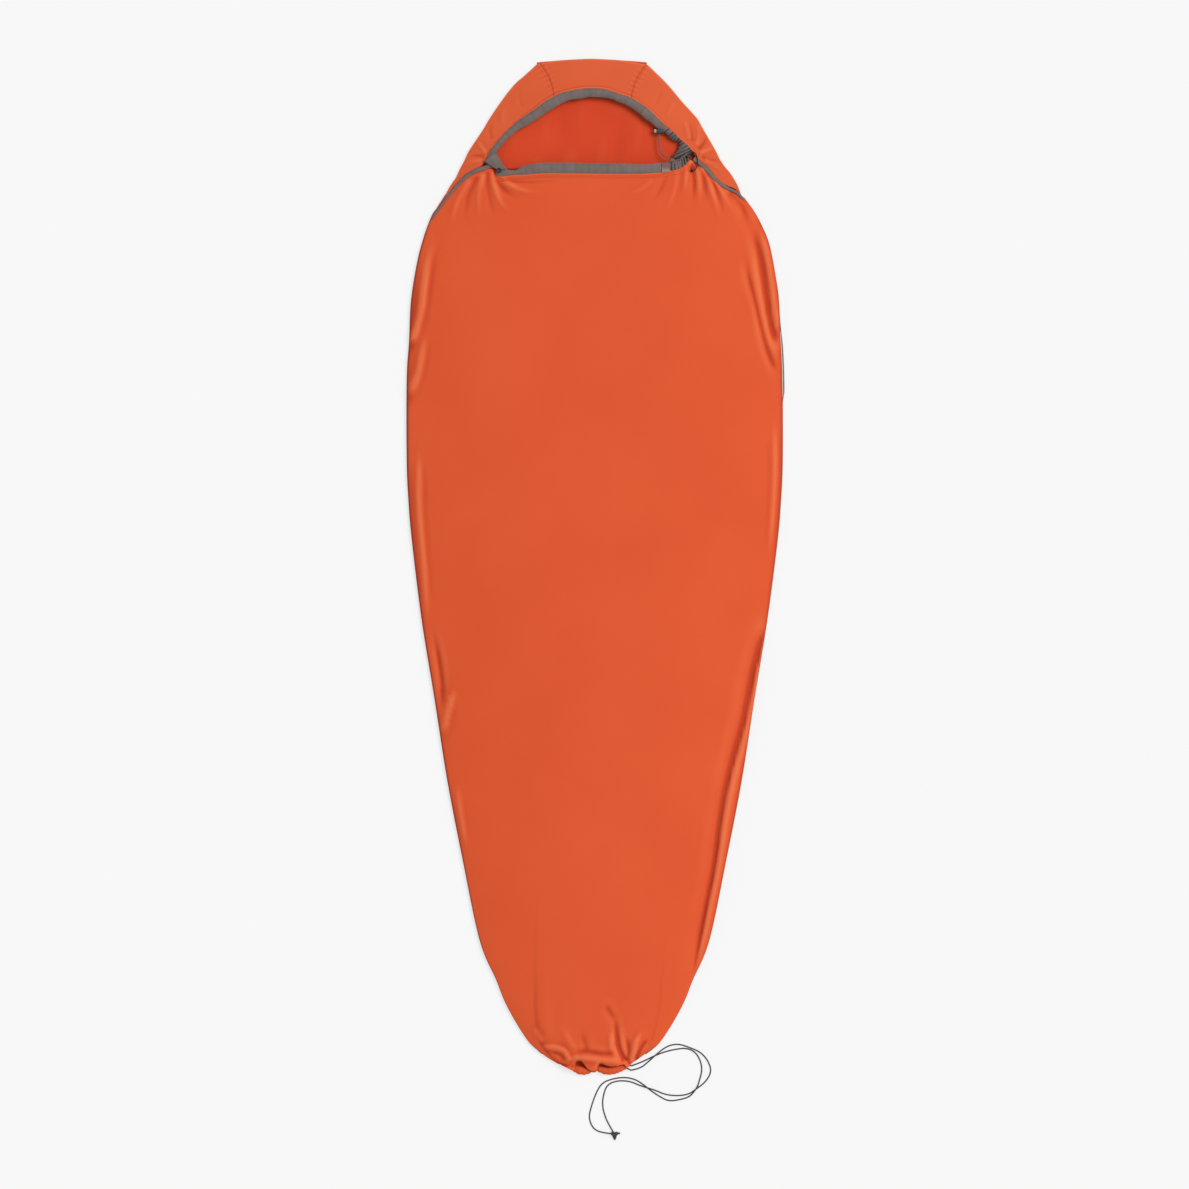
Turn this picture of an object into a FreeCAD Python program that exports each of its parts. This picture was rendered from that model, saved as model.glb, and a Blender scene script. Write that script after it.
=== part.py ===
import FreeCAD, Part
import math
import os
import Sketcher
from FreeCAD import Placement, Rotation, Vector

# A thin single-layer mummy sleeping bag lying on its back, in millimetres.
# +Y points to the head, +X to the wearer's left-hand side as seen from above, +Z up.
# The origin is the middle of the bag's length, on the surface that it lies on.

SIZES = {
    # the whole bag
    "bag_length": 2100, "crown_y": 1050, "cloth": 2, "edge_height": 8,
    # cross-sections: distance from the crown or to the foot, or share of the way from chest to
    # knee; full width; height
    "crown_width": 222, "crown_loft": 14,
    "brow_at": 85, "brow_width": 374, "brow_loft": 22,
    "temple_at": 210, "temple_width": 533, "temple_loft": 28,
    "shoulder_at": 345, "shoulder_width": 690, "shoulder_loft": 36,
    "arm_at": 520, "arm_width": 763, "arm_loft": 43,
    "chest_at": 760, "chest_width": 780, "chest_loft": 46,
    "waist_share": 0.2976, "waist_width": 757, "waist_loft": 46,
    "hip_share": 0.6429, "hip_width": 671, "hip_loft": 44,
    "knee_to_foot": 500, "knee_width": 567, "knee_loft": 40,
    "calf_to_foot": 250, "calf_width": 460, "calf_loft": 34,
    "ankle_to_foot": 95, "ankle_width": 312, "ankle_loft": 27,
    "mouth_width": 150, "mouth_loft": 22,
    # gathered hem round the foot
    "hem_length": 20, "hem_mouth_width": 60, "hem_mouth_gap": 3, "hem_mouth_level": 7.7,
    # binding round the face, an arc about its own centre
    "rim_middle_x": -4, "rim_middle_drop": 287, "rim_level": 16.6, "rim_radius": 221,
    "rim_from_angle": 27, "rim_to_angle": 156, "rim_width": 20, "rim_height": 10.5, "rim_wall": 3,
    "slit_angle": 48, "slit_width": 12, "slit_clear": 5,
    # binding across the throat
    "neck_over_rim_middle": 60, "neck_level": 30, "neck_bow": 1824, "neck_left_over": 0.107,
    "neck_bend_before_rim_end": 46.912,
    "neck_bend_radius": 57, "neck_bend_angle": 50, "neck_width": 22, "neck_height": 10,
    "neck_wall": 3.4, "binding_round": 2,
    # strips from the corners of the face opening over the shoulders
    "strip_width": 9,
    "left_top_in": 2, "left_top_up": 10, "left_end_out": 7, "left_end_down": 5,
    "left_strip_bow": -18.403,
    "right_top_out": 10.48, "right_top_up": 6.64, "right_end_in": 19, "right_end_up": 45,
    "right_strip_bow": -4.566,
    # seams between the hood panels
    "seam_inner_x": 76, "seam_inner_drop": 110, "seam_outer_x": 102, "seam_outer_over": 10,
    # woven label, corner tab and its ring
    "label_length": 17, "label_width": 17, "label_thick": 0.8, "label_angle": 1,
    "tab_length": 38, "tab_width": 20, "tab_thick": 2, "tab_angle": 35, "tab_in": 3,
    "tab_shift": 6, "ring_radius": 4, "ring_wire": 1.2, "ring_dx": 6, "ring_dy": -9,
    "anchor_length": 14, "anchor_cover": 2, "anchor_flare": 3, "anchor_round": 1.2,
    "anchor_grip": 2,
    "corner_relief_x": 16, "corner_relief_fall": 7.87, "corner_relief_drop": 5,
    # cords
    "hood_cord": 3, "neck_cord": 2, "foot_cord": 3, "cord_slack": 0.4,
    "floor_clear": 0.1, "channel_clear": 0.5, "neck_cord_start": 6, "neck_cord_run": 24,
    "cord_joint": 0.3,
    # cord locks
    "fit": 0.3, "lock_floor": 1.6, "lock_foot": 1.8, "lock_round": 1.4, "spring_room": 1.6,
    "spring_wire": 0.5, "button_proud": 2,
    "hood_lock_radius": 6, "hood_button_radius": 3.9, "hood_button_travel": 3,
    "hood_lock_along": 14,
    "neck_lock_radius": 5, "neck_button_radius": 3.2, "neck_button_travel": 2.5,
    "neck_lock_along": 6.5,
    # knots
    "foot_knot_x": 42, "foot_knot_below": 128, "foot_knot_radius": 8, "foot_knot_height": 10.4,
    "foot_knot_round": 4.6,
    "neck_knot_radius": 3, "neck_knot_grip": 0.6,
}


class Size:
    """A number together with the spreadsheet expression that gives it."""

    def __init__(self, value, text):
        self.value = float(value)
        self.text = text

    @staticmethod
    def of(other):
        if isinstance(other, Size):
            return other
        return Size(other, repr(other))

    def _join(self, other, sign, value):
        return Size(value, f"({self.text} {sign} {other.text})")

    def __add__(self, other):
        other = Size.of(other)
        return self._join(other, "+", self.value + other.value)

    def __radd__(self, other):
        return Size.of(other) + self

    def __sub__(self, other):
        other = Size.of(other)
        return self._join(other, "-", self.value - other.value)

    def __rsub__(self, other):
        return Size.of(other) - self

    def __mul__(self, other):
        other = Size.of(other)
        return self._join(other, "*", self.value * other.value)

    def __rmul__(self, other):
        return Size.of(other) * self

    def __truediv__(self, other):
        other = Size.of(other)
        return self._join(other, "/", self.value / other.value)

    def __neg__(self):
        return Size(-self.value, f"(0 - {self.text})")

    def __float__(self):
        return self.value


doc = FreeCAD.newDocument("mummy_bag")
sheet = doc.addObject("Spreadsheet::Sheet", "Sizes")
for row, (alias, number) in enumerate(SIZES.items(), start=1):
    sheet.set(f"A{row}", alias)
    sheet.set(f"B{row}", str(number))
    sheet.setAlias(f"B{row}", alias)
doc.recompute()


def size(alias):
    """The named size as a number that also knows its spreadsheet cell."""
    return Size(sheet.get(alias), f"Sizes.{alias}")


def num(alias):
    return float(sheet.get(alias))


def bind(obj, prop, value):
    """Set a property to a size and keep it bound to the spreadsheet."""
    obj.setExpression(prop, Size.of(value).text)


# ---------------------------------------------------------------- sketches

def new_body(label, x=0, y=0, z=0, rotation=None):
    body = doc.addObject("PartDesign::Body", label)
    body.Label = label
    place = Vector(float(x), float(y), float(z))
    body.Placement = Placement(place, rotation or Rotation())
    for axis, value in (("x", x), ("y", y), ("z", z)):
        if isinstance(value, Size):
            bind(body, f"Placement.Base.{axis}", value)
    return body


def origin_plane(body, role):
    for feature in body.Origin.OriginFeatures:
        if feature.Role == role:
            return feature
    raise ValueError(role)


def new_sketch(body, name, role="XY_Plane", lift=0):
    """A sketch on one of the body's origin planes, lifted along its normal."""
    sketch = body.newObject("Sketcher::SketchObject", f"{body.Name}_{name}")
    sketch.AttachmentSupport = [(origin_plane(body, role), "")]
    sketch.MapMode = "FlatFace"
    sketch.AttachmentOffset = Placement(Vector(0, 0, float(lift)), Rotation())
    if isinstance(lift, Size):
        bind(sketch, "AttachmentOffset.Base.z", lift)
    return sketch


def pin(sketch, edge, end, x, y):
    """Hold one end of a sketch edge at a point given by sizes."""
    for kind, value in (("DistanceX", x), ("DistanceY", y)):
        index = sketch.addConstraint(Sketcher.Constraint(kind, -1, 1, edge, end, float(value)))
        if isinstance(value, Size):
            sketch.setExpression(f"Constraints[{index}]", value.text)


def outline(sketch, points, bows=None):
    """A closed outline through points. bows gives a radius for the edge that starts at a point:
    positive turns anticlockwise, negative clockwise."""
    bows = bows or {}
    count = len(points)
    for i in range(count):
        first = points[i]
        last = points[(i + 1) % count]
        a = Vector(float(first[0]), float(first[1]), 0)
        b = Vector(float(last[0]), float(last[1]), 0)
        if i not in bows:
            edge = sketch.addGeometry(Part.LineSegment(a, b), False)
            pin(sketch, edge, 1, *first)
            pin(sketch, edge, 2, *last)
            continue
        radius = Size.of(bows[i])
        edge = sketch.addGeometry(bow(a, b, float(radius)), False)
        ahead = float(radius) > 0
        pin(sketch, edge, 1 if ahead else 2, *first)
        pin(sketch, edge, 2 if ahead else 1, *last)
        hold_radius(sketch, edge, radius if ahead else -radius)


def bow(a, b, radius):
    """The short arc from a to b with its centre on the left for a positive radius."""
    half = (b - a) * 0.5
    left = Vector(-half.y, half.x, 0).normalize()
    depth = math.sqrt(max(radius * radius - half.Length ** 2, 0))
    if radius < 0:
        left = left * -1
        a, b = b, a
    centre = (a + b) * 0.5 + left * depth
    start = math.atan2(a.y - centre.y, a.x - centre.x)
    end = math.atan2(b.y - centre.y, b.x - centre.x)
    if end < start:
        end += 2 * math.pi
    return Part.ArcOfCircle(Part.Circle(centre, Vector(0, 0, 1), abs(radius)), start, end)


def hold_radius(sketch, edge, radius):
    index = sketch.addConstraint(Sketcher.Constraint("Radius", edge, float(radius)))
    if "Sizes" in radius.text:
        sketch.setExpression(f"Constraints[{index}]", radius.text)


def disc(sketch, x, y, radius):
    """A full circle held by its centre and radius."""
    spot = Vector(float(x), float(y), 0)
    edge = sketch.addGeometry(Part.Circle(spot, Vector(0, 0, 1), float(radius)), False)
    pin(sketch, edge, 3, x, y)
    hold_radius(sketch, edge, Size.of(radius))


# ---------------------------------------------------------------- features

def add_feature(body, kind, name, profile, **settings):
    feature = body.newObject(f"PartDesign::{kind}", f"{body.Name}_{name}")
    feature.Profile = profile
    for prop, value in settings.items():
        if isinstance(value, Size):
            setattr(feature, prop, value.value)
            bind(feature, prop, value)
        else:
            setattr(feature, prop, value)
    profile.Visibility = False
    return feature


def revolve(body, name, sketch, kind="Revolution", angle=360):
    return add_feature(body, kind, name, sketch, ReferenceAxis=(sketch, ["V_Axis"]), Angle=angle)


def combine(kind, label, base, tool):
    """A Part boolean of two document objects."""
    result = doc.addObject(f"Part::{kind}", label)
    result.Label = label
    result.Base = base
    result.Tool = tool
    return result


def shape_object(label, shape, x=0, y=0, z=0):
    """A document object for a shape that Part's own functions make."""
    result = doc.addObject("Part::Feature", label)
    result.Label = label
    result.Shape = shape
    result.Placement = Placement(Vector(x, y, z), Rotation())
    return result


def plan_prism(label, edges, low, high):
    """An upright prism over a plan outline, between two levels."""
    face = Part.Face(Part.Wire(Part.__sortEdges__([edge.toShape() for edge in edges])))
    face.translate(Vector(0, 0, low))
    return shape_object(label, face.extrude(Vector(0, 0, high - low)))


def lines(points):
    return [Part.LineSegment(Vector(*a, 0), Vector(*b, 0)) for a, b in zip(points, points[1:])]


# ---------------------------------------------------------------- the whole bag's form

HEAD = size("crown_y")
FOOT_Y = num("crown_y") - num("bag_length")
CLOTH = size("cloth")
EDGE = size("edge_height")
BODY_END = size("bag_length") - size("hem_length")
STATIONS = ("brow", "temple", "shoulder", "arm", "chest", "waist", "hip", "knee", "calf", "ankle")
FAR = num("bag_length")


def station_at(name):
    """A cross-section's distance from the crown."""
    if f"{name}_at" in SIZES:
        return size(f"{name}_at")
    if f"{name}_to_foot" in SIZES:
        return size("bag_length") - size(f"{name}_to_foot")
    chest = size("chest_at")
    return chest + (station_at("knee") - chest) * size(f"{name}_share")


def cross_section(body, name, distance, width, loft, floor):
    """Flat underneath, an upright edge, and one arc over the top."""
    sketch = new_sketch(body, name, "XZ_Plane", distance - HEAD)
    rise = loft - EDGE
    radius = (width * width / 4 + rise * rise) / (2 * rise)
    half = width / 2
    points = [(-half, floor), (half, floor), (half, EDGE), (-half, EDGE)]
    outline(sketch, points, {2: radius})
    return sketch


def bag_form(label, inset, floor, overrun):
    """The bag's loft through its cross-sections, inset for the inner side of the cloth."""
    body = new_body(label)
    sections = [cross_section(body, "crown", Size.of(inset), size("crown_width") - inset * 2,
                              size("crown_loft") - inset, floor)]
    for name in STATIONS:
        width = size(f"{name}_width") - inset * 2
        loft = size(f"{name}_loft") - inset
        sections.append(cross_section(body, name, station_at(name), width, loft, floor))
    width = size("mouth_width") - inset * 2
    loft = size("mouth_loft") - inset
    sections.append(cross_section(body, "mouth", BODY_END + overrun, width, loft, floor))
    loft_feature = add_feature(body, "AdditiveLoft", "skin", sections[0])
    loft_feature.Sections = sections[1:]
    loft_feature.Ruled = False
    for sketch in sections:
        sketch.Visibility = False
    return body


# The outer form reaches below the floor, so that the cut at the floor leaves one true plane.
outer_form = bag_form("outer_form", Size.of(0), -CLOTH, Size.of(0))
inner_form = bag_form("inner_form", CLOTH, CLOTH, CLOTH * 1.5)
cloth_shell = combine("Cut", "cloth_shell", outer_form, inner_form)


def slab(label, low, high):
    box = doc.addObject("Part::Box", label)
    for prop, value in (("Length", 2), ("Width", 2)):
        bind(box, prop, size("bag_length") * value)
    bind(box, "Height", high - low)
    box.Placement.Base = Vector(-FAR, -FAR, float(low))
    bind(box, "Placement.Base.x", -size("bag_length"))
    bind(box, "Placement.Base.y", -size("bag_length"))
    bind(box, "Placement.Base.z", low)
    return box


back_panel = combine("Common", "back_panel", cloth_shell, slab("back_slab", Size.of(0), CLOTH))
upper_shell = combine("Common", "upper_shell", cloth_shell,
                      slab("upper_slab", CLOTH, size("bag_length")))

# ---------------------------------------------------------------- rim binding and neck binding


def rounded_box(sketch, left, right, low, high, radius):
    """A rectangle with rounded corners."""
    r = Size.of(radius)
    points = [(left + r, low), (right - r, low), (right, low + r), (right, high - r),
              (right - r, high), (left + r, high), (left, high - r), (left, low + r)]
    outline(sketch, points, {1: r, 3: r, 5: r, 7: r})


RIM_Y = HEAD - size("rim_middle_drop")


def rim_ring(label, wall):
    """The rim's band as a solid ring piece, shrunk by wall on every side."""
    turn = Rotation(Vector(0, 0, 1), num("rim_from_angle"))
    body = new_body(label, size("rim_middle_x"), RIM_Y, size("rim_level"), turn)
    sketch = new_sketch(body, "band", "XZ_Plane")
    half = size("rim_width") / 2 - wall
    high = size("rim_height") / 2 - wall
    inner = size("rim_radius") - half
    outer = size("rim_radius") + half
    if wall.value:
        outline(sketch, [(inner, -high), (outer, -high), (outer, high), (inner, high)])
    else:
        rounded_box(sketch, inner, outer, -high, high, size("binding_round"))
    revolve(body, "sweep", sketch, angle=size("rim_to_angle") - size("rim_from_angle"))
    return body


rim_solid = rim_ring("rim_solid", Size.of(0))
rim_channel = rim_ring("rim_channel", size("rim_wall"))


def at_rim(angle, radius):
    turn = math.radians(angle)
    return (num("rim_middle_x") + radius * math.cos(turn),
            float(RIM_Y) + radius * math.sin(turn))


def slit_tool():
    """The gap in the rim's inner side that lets the cord out."""
    box = doc.addObject("Part::Box", "rim_slit")
    bind(box, "Length", size("rim_width") / 2 + size("cord_slack") * 4)
    bind(box, "Width", size("slit_width"))
    bind(box, "Height", size("hood_cord") + size("cord_slack") * 2)
    turn = Rotation(Vector(0, 0, 1), num("slit_angle") + 180)
    x, y = at_rim(num("slit_angle"), num("rim_radius"))
    high = num("hood_cord") / 2 + num("cord_slack")
    shift = turn.multVec(Vector(0, -num("slit_width") / 2, -high))
    box.Placement = Placement(Vector(x, y, num("rim_level")) + shift, turn)
    return box


rim_hollow = combine("Cut", "rim_hollow", rim_solid, rim_channel)
hood_rim_binding = combine("Cut", "hood_rim_binding", rim_hollow, slit_tool())
RIM_LEFT = at_rim(num("rim_to_angle"), num("rim_radius"))
RIM_RIGHT = at_rim(num("rim_from_angle"), num("rim_radius"))
NECK_Y = float(RIM_Y) + num("neck_over_rim_middle")
NECK_LEFT = RIM_LEFT[0] - num("neck_left_over")
NECK_BEND = RIM_RIGHT[0] - num("neck_bend_before_rim_end")


def neck_path():
    """A shallow upright arc over the throat, then a flat arc that climbs to the right corner."""
    bow_radius = num("neck_bow")
    y = NECK_Y
    level = num("neck_level")

    def over(x):
        drop = bow_radius - math.sqrt(bow_radius ** 2 - x * x)
        return Vector(x, y, level - drop)

    start = over(NECK_LEFT)
    middle = over((NECK_LEFT + NECK_BEND) / 2)
    bend = over(NECK_BEND)
    slope = math.asin(NECK_BEND / bow_radius)
    along = Vector(math.cos(slope), 0, -math.sin(slope))
    radius = num("neck_bend_radius")

    def round_bend(degrees):
        turn = math.radians(degrees)
        aside = Vector(0, 1, 0) * (radius * (1 - math.cos(turn)))
        return bend + along * (radius * math.sin(turn)) + aside

    angle = num("neck_bend_angle")
    end = round_bend(angle)
    turn = math.radians(angle)
    heading = along * math.cos(turn) + Vector(0, math.sin(turn), 0)
    arcs = [Part.Arc(start, middle, bend), Part.Arc(bend, round_bend(angle / 2), end)]
    return Part.Wire([arc.toShape() for arc in arcs]), end, heading, round_bend, slope


NECK_WIRE, NECK_END, NECK_HEADING, NECK_BEND_POINT, NECK_SLOPE = neck_path()


def neck_band(wall):
    """The neck binding's section swept along its path, shrunk by wall on every side."""
    half = num("neck_width") / 2 - wall
    high = num("neck_height") / 2 - wall
    corners = [(half, high), (-half, high), (-half, -high), (half, -high), (half, high)]
    edges = [Part.LineSegment(Vector(0, *a), Vector(0, *b)) for a, b in zip(corners, corners[1:])]
    wire = Part.Wire([edge.toShape() for edge in edges])
    lean = math.degrees(math.asin(NECK_LEFT / num("neck_bow")))
    start = NECK_WIRE.Edges[0].valueAt(NECK_WIRE.Edges[0].FirstParameter)
    wire.Placement = Placement(start, Rotation(Vector(0, 1, 0), lean))
    return NECK_WIRE.makePipeShell([wire], True, False)


def rounded_neck_band():
    """The neck binding's outside, with its long edges rounded."""
    band = neck_band(0)
    longest = [edge for edge in band.Edges if edge.Length > num("neck_width") * 1.5]
    return band.makeFillet(num("binding_round"), longest)


neck_solid = shape_object("neck_solid", rounded_neck_band())
neck_channel = shape_object("neck_channel", neck_band(num("neck_wall")))
neck_binding = combine("Cut", "neck_binding", neck_solid, neck_channel)

# ---------------------------------------------------------------- cloth panels


def face_opening():
    """The opening's plan outline, along the middle of both bindings."""
    top = at_rim(90, num("rim_radius"))
    outer = at_rim(num("rim_from_angle"), num("rim_radius") + num("rim_width") / 2)
    arc = [Vector(*point, 0) for point in (RIM_RIGHT, top, RIM_LEFT)]
    bend = NECK_BEND_POINT(num("neck_bend_angle") / 2)
    corner = (NECK_END.x + num("corner_relief_x"), NECK_END.y - num("corner_relief_drop"))
    top_corner = (outer[0] + num("corner_relief_x") / 2, outer[1] - num("corner_relief_fall"))
    edges = [Part.Arc(*arc)]
    edges += lines([RIM_LEFT, (NECK_LEFT, NECK_Y), (NECK_BEND, NECK_Y)])
    edges.append(Part.Arc(Vector(NECK_BEND, NECK_Y, 0), Vector(bend.x, bend.y, 0),
                          Vector(NECK_END.x, NECK_END.y, 0)))
    edges += lines([(NECK_END.x, NECK_END.y), corner, top_corner, outer, RIM_RIGHT])
    return plan_prism("face_opening", edges, num("cloth"), FAR)


def shoulder_ends(side):
    """Where a shoulder strip leaves the face opening, and where it goes over the low edge."""
    edge = num("shoulder_width") / 2
    level = num("crown_y") - num("shoulder_at")
    if side == "left":
        return (Vector(NECK_LEFT + num("left_top_in"), NECK_Y + num("left_top_up"), 0),
                Vector(-edge - num("left_end_out"), level - num("left_end_down"), 0))
    return (Vector(NECK_END.x + num("right_top_out"), NECK_END.y + num("right_top_up"), 0),
            Vector(edge - num("right_end_in"), level + num("right_end_up"), 0))


def shoulder_arc(side, shift):
    """Three points of a shoulder strip's edge, moved outwards from the middle of the bag."""
    top, end = shoulder_ends(side)
    run = (end - top).normalize()
    mid = (top + end) * 0.5 + Vector(-run.y, run.x, 0) * num(f"{side}_strip_bow")
    centre = Part.Arc(top, mid, end).toShape().Curve.Center
    moved = []
    for point in (top, mid, end):
        out = point - centre
        sign = shift if centre.y < point.y else -shift
        moved.append(point + out.normalize() * sign)
    return moved


def flat(point):
    return (point.x, point.y)


def front_region(label, low, high):
    """The plan region below both shoulder strips."""
    left = shoulder_arc("left", 0)
    right = shoulder_arc("right", 0)
    edges = [Part.Arc(*left), Part.Arc(*right)]
    edges += lines([flat(left[0]), flat(right[0])])
    edges += lines([flat(right[2]), (FAR, right[2].y), (FAR, -FAR * 2), (-FAR, -FAR * 2),
                    (-FAR, left[2].y), flat(left[2])])
    return plan_prism(label, edges, low, high)


def strip_region(side):
    """A side strip's region: the band over the shoulder and the low edge below it."""
    sign = -1 if side == "left" else 1
    inner = shoulder_arc(side, 0)
    outer = shoulder_arc(side, num("strip_width"))
    edges = [Part.Arc(*inner), Part.Arc(*outer)]
    edges += lines([flat(inner[0]), flat(outer[0])])
    edges += lines([flat(inner[2]), flat(outer[2])])
    band = plan_prism(f"{side}_band_region", edges, num("cloth"), FAR)
    half = Part.makeBox(FAR, 4 * FAR, FAR, Vector(0 if sign > 0 else -FAR, -2 * FAR, 0))
    low = low_region.Shape.common(half)
    edge = shape_object(f"{side}_edge_region", low)
    return combine("Fuse", f"{side}_strip_region", band, edge)


def hood_region(label, sides):
    """A hood panel's plan region above the shoulder strips, between its seams."""
    left = shoulder_arc("left", num("strip_width"))
    right = shoulder_arc("right", num("strip_width"))
    x0 = num("seam_inner_x")
    y0 = num("crown_y") - num("seam_inner_drop")
    x1 = num("seam_outer_x")
    y1 = num("crown_y") + num("seam_outer_over")
    if sides == "centre":
        edges = lines([(-x0, y0), (x0, y0), (x1, y1), (-x1, y1), (-x0, y0)])
    elif sides == "left":
        edges = [Part.Arc(*left)]
        edges += lines([flat(left[0]), (-x0, y0), (-x1, y1), (-FAR, y1), (-FAR, left[2].y),
                        flat(left[2])])
    else:
        edges = [Part.Arc(*right)]
        edges += lines([flat(right[0]), (x0, y0), (x1, y1), (FAR, y1), (FAR, right[2].y),
                        flat(right[2])])
    return plan_prism(label, edges, num("cloth"), FAR)


open_shell = combine("Cut", "open_shell", upper_shell, face_opening())
rimmed_shell = combine("Cut", "rimmed_shell", open_shell, rim_solid)
bound_shell = combine("Cut", "bound_shell", rimmed_shell, neck_solid)
low_region = front_region("low_region", num("cloth"), num("edge_height"))
front_panel = combine("Common", "front_panel", bound_shell,
                      front_region("front_region", num("edge_height"), FAR))
left_side_strip = combine("Common", "left_side_strip", bound_shell, strip_region("left"))
right_side_strip = combine("Common", "right_side_strip", bound_shell, strip_region("right"))
hood_left_panel = combine("Common", "hood_left_panel", bound_shell,
                          hood_region("hood_left_region", "left"))
hood_centre_panel = combine("Common", "hood_centre_panel", bound_shell,
                            hood_region("hood_centre_region", "centre"))
hood_right_panel = combine("Common", "hood_right_panel", bound_shell,
                           hood_region("hood_right_region", "right"))

# ---------------------------------------------------------------- cords


def cord_wire(points, label):
    """Straight runs joined by arcs as large as the runs allow."""
    spots = [Vector(*point) for point in points]
    runs = [(b - a).Length for a, b in zip(spots, spots[1:])]
    edges = []
    radii = []
    last = spots[0]
    for i in range(1, len(spots) - 1):
        into = (spots[i] - spots[i - 1]).normalize()
        out = (spots[i + 1] - spots[i]).normalize()
        turn = into.getAngle(out)
        reach = 0.45 * min(runs[i - 1], runs[i])
        radius = reach / math.tan(turn / 2)
        radii.append(radius)
        start = spots[i] - into * reach
        end = spots[i] + out * reach
        inward = (out - into).normalize()
        middle = spots[i] + inward * (radius / math.cos(turn / 2) - radius)
        edges.append(Part.LineSegment(last, start).toShape())
        edges.append(Part.Arc(start, middle, end).toShape())
        last = end
    edges.append(Part.LineSegment(last, spots[-1]).toShape())
    wire = Part.Wire(edges)
    text = " ".join(f"{radius:.0f}" for radius in radii)
    print(f"{label}: length {wire.Length:.0f}, longest run {max(runs):.0f}, radii {text}")
    return wire


def tube(wire, radius):
    """A round tube along a wire, checked against its section times its length."""
    first = wire.Edges[0]
    start = first.valueAt(first.FirstParameter)
    heading = first.tangentAt(first.FirstParameter)
    ring = Part.Wire(Part.makeCircle(radius, start, heading))
    solid = wire.makePipeShell([ring], True, False)
    expected = math.pi * radius ** 2 * wire.Length
    if abs(solid.Volume / expected - 1) > 0.02:
        raise ValueError(f"tube volume {solid.Volume:.0f}, expected {expected:.0f}")
    return solid


RIM_LEVEL = num("rim_level")
SLIT_OUT = at_rim(num("slit_angle"),
                  num("rim_radius") - num("rim_width") / 2 - num("slit_clear"))
SLIT_IN = at_rim(num("slit_angle"), num("rim_radius"))



def from_place(place, steps):
    """Points given by their distances from a place."""
    return [(place.x + dx, place.y + dy, place.z + dz) for dx, dy, dz in steps]


# The hood cord comes out of the slit, runs through its lock and curves down to its anchor.
HOOD_LOOP = [(*SLIT_IN, RIM_LEVEL)]
HOOD_LOOP += from_place(Vector(*SLIT_OUT, RIM_LEVEL), [(0, 0, 0), (-0.341, -48.088, 0)])
HOOD_LOOP += from_place(NECK_END, [(-48.52, 6.64, -1.65), (-29.52, -2.36, 3.35)])
NECK_OUT = NECK_END + NECK_HEADING * num("neck_cord_run")
NECK_LOOP = [tuple(NECK_END - NECK_HEADING * num("neck_cord_start"))]
NECK_LOOP += from_place(NECK_OUT, [(0, 0, 0), (7.5, 0.5, 0), (12, -5.5, 0)])
NECK_LOOP += from_place(NECK_END, [
    (26.98, 2.64, 0.55), (24.48, -6.86, 0.95), (19.98, -15.36, 1.15), (13.98, -21.86, 1.55),
])
FLOOR_CORD = num("foot_cord") / 2 + num("floor_clear")
FOOT_MIDDLE = Vector(0, FOOT_Y, 0)
FOOT_OUTER = from_place(FOOT_MIDDLE, [
    (76, 6, 5), (95, 9.5, 2.4), (111, 23, 2.8), (122.2, 33.3, 5.1), (129.8, 39.9, 5.1),
    (140, 48.5, 2.8), (155, 57.5, FLOOR_CORD), (175, 60.5, FLOOR_CORD), (197, 53, FLOOR_CORD),
    (220, 43.5, FLOOR_CORD), (236, 25, FLOOR_CORD), (243, 3, FLOOR_CORD), (230, -19, FLOOR_CORD),
    (211, -33, FLOOR_CORD), (196, -44, FLOOR_CORD), (171, -47.5, FLOOR_CORD),
    (146, -44.5, FLOOR_CORD), (127, -36, 2.8), (114.3, -32, 5.1), (104.6, -28.8, 5.1),
    (93, -25.5, 2.8), (74, -17, FLOOR_CORD), (49, -15.5, FLOOR_CORD), (27, -23, FLOOR_CORD),
    (18.5, -44, FLOOR_CORD), (16, -68, FLOOR_CORD), (22.5, -92, FLOOR_CORD), (31, -109, 2.8),
    (39, -122, 4.5),
])
FOOT_INNER = from_place(FOOT_MIDDLE, [
    (76, 15, 6.5), (95, 21.5, 2.6), (113, 30, FLOOR_CORD), (126, 36.5, FLOOR_CORD),
    (147, 44.5, FLOOR_CORD), (168, 49.3, FLOOR_CORD), (190, 52, FLOOR_CORD),
    (208, 44.5, FLOOR_CORD), (219, 28, FLOOR_CORD), (223.5, 7, FLOOR_CORD), (218, -14, 2.6),
    (213.5, -28, 5.1), (208, -36.5, 5.1), (197, -49.5, 3.4), (176, -55.5, FLOOR_CORD),
    (153, -58.5, FLOOR_CORD), (134, -48, FLOOR_CORD), (118, -37.5, FLOOR_CORD),
    (103, -25, FLOOR_CORD), (84, -12.5, FLOOR_CORD), (61, -8.5, FLOOR_CORD), (37, -12, FLOOR_CORD),
    (15, -20.5, FLOOR_CORD), (3, -42, FLOOR_CORD), (-6, -67, FLOOR_CORD), (-12.5, -93, FLOOR_CORD),
    (-2, -117, FLOOR_CORD), (18, -124, 2.6), (35.5, -125.5, 4.5),
])
HEM_MIDDLE = num("hem_length") / 2
HEM_CORD = from_place(FOOT_MIDDLE, [
    (76, 15, 6.5), (60, 12.5, 9), (38, HEM_MIDDLE, 12), (0, HEM_MIDDLE, 12.6),
    (-38, HEM_MIDDLE, 12), (-47, HEM_MIDDLE, 12), (-47, HEM_MIDDLE, 3.6),
    (-38, HEM_MIDDLE, 3.7), (0, HEM_MIDDLE, 3.6), (38, HEM_MIDDLE, 3.7),
    (60, 7.5, 4.2), (76, 6, 5),
])

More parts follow.
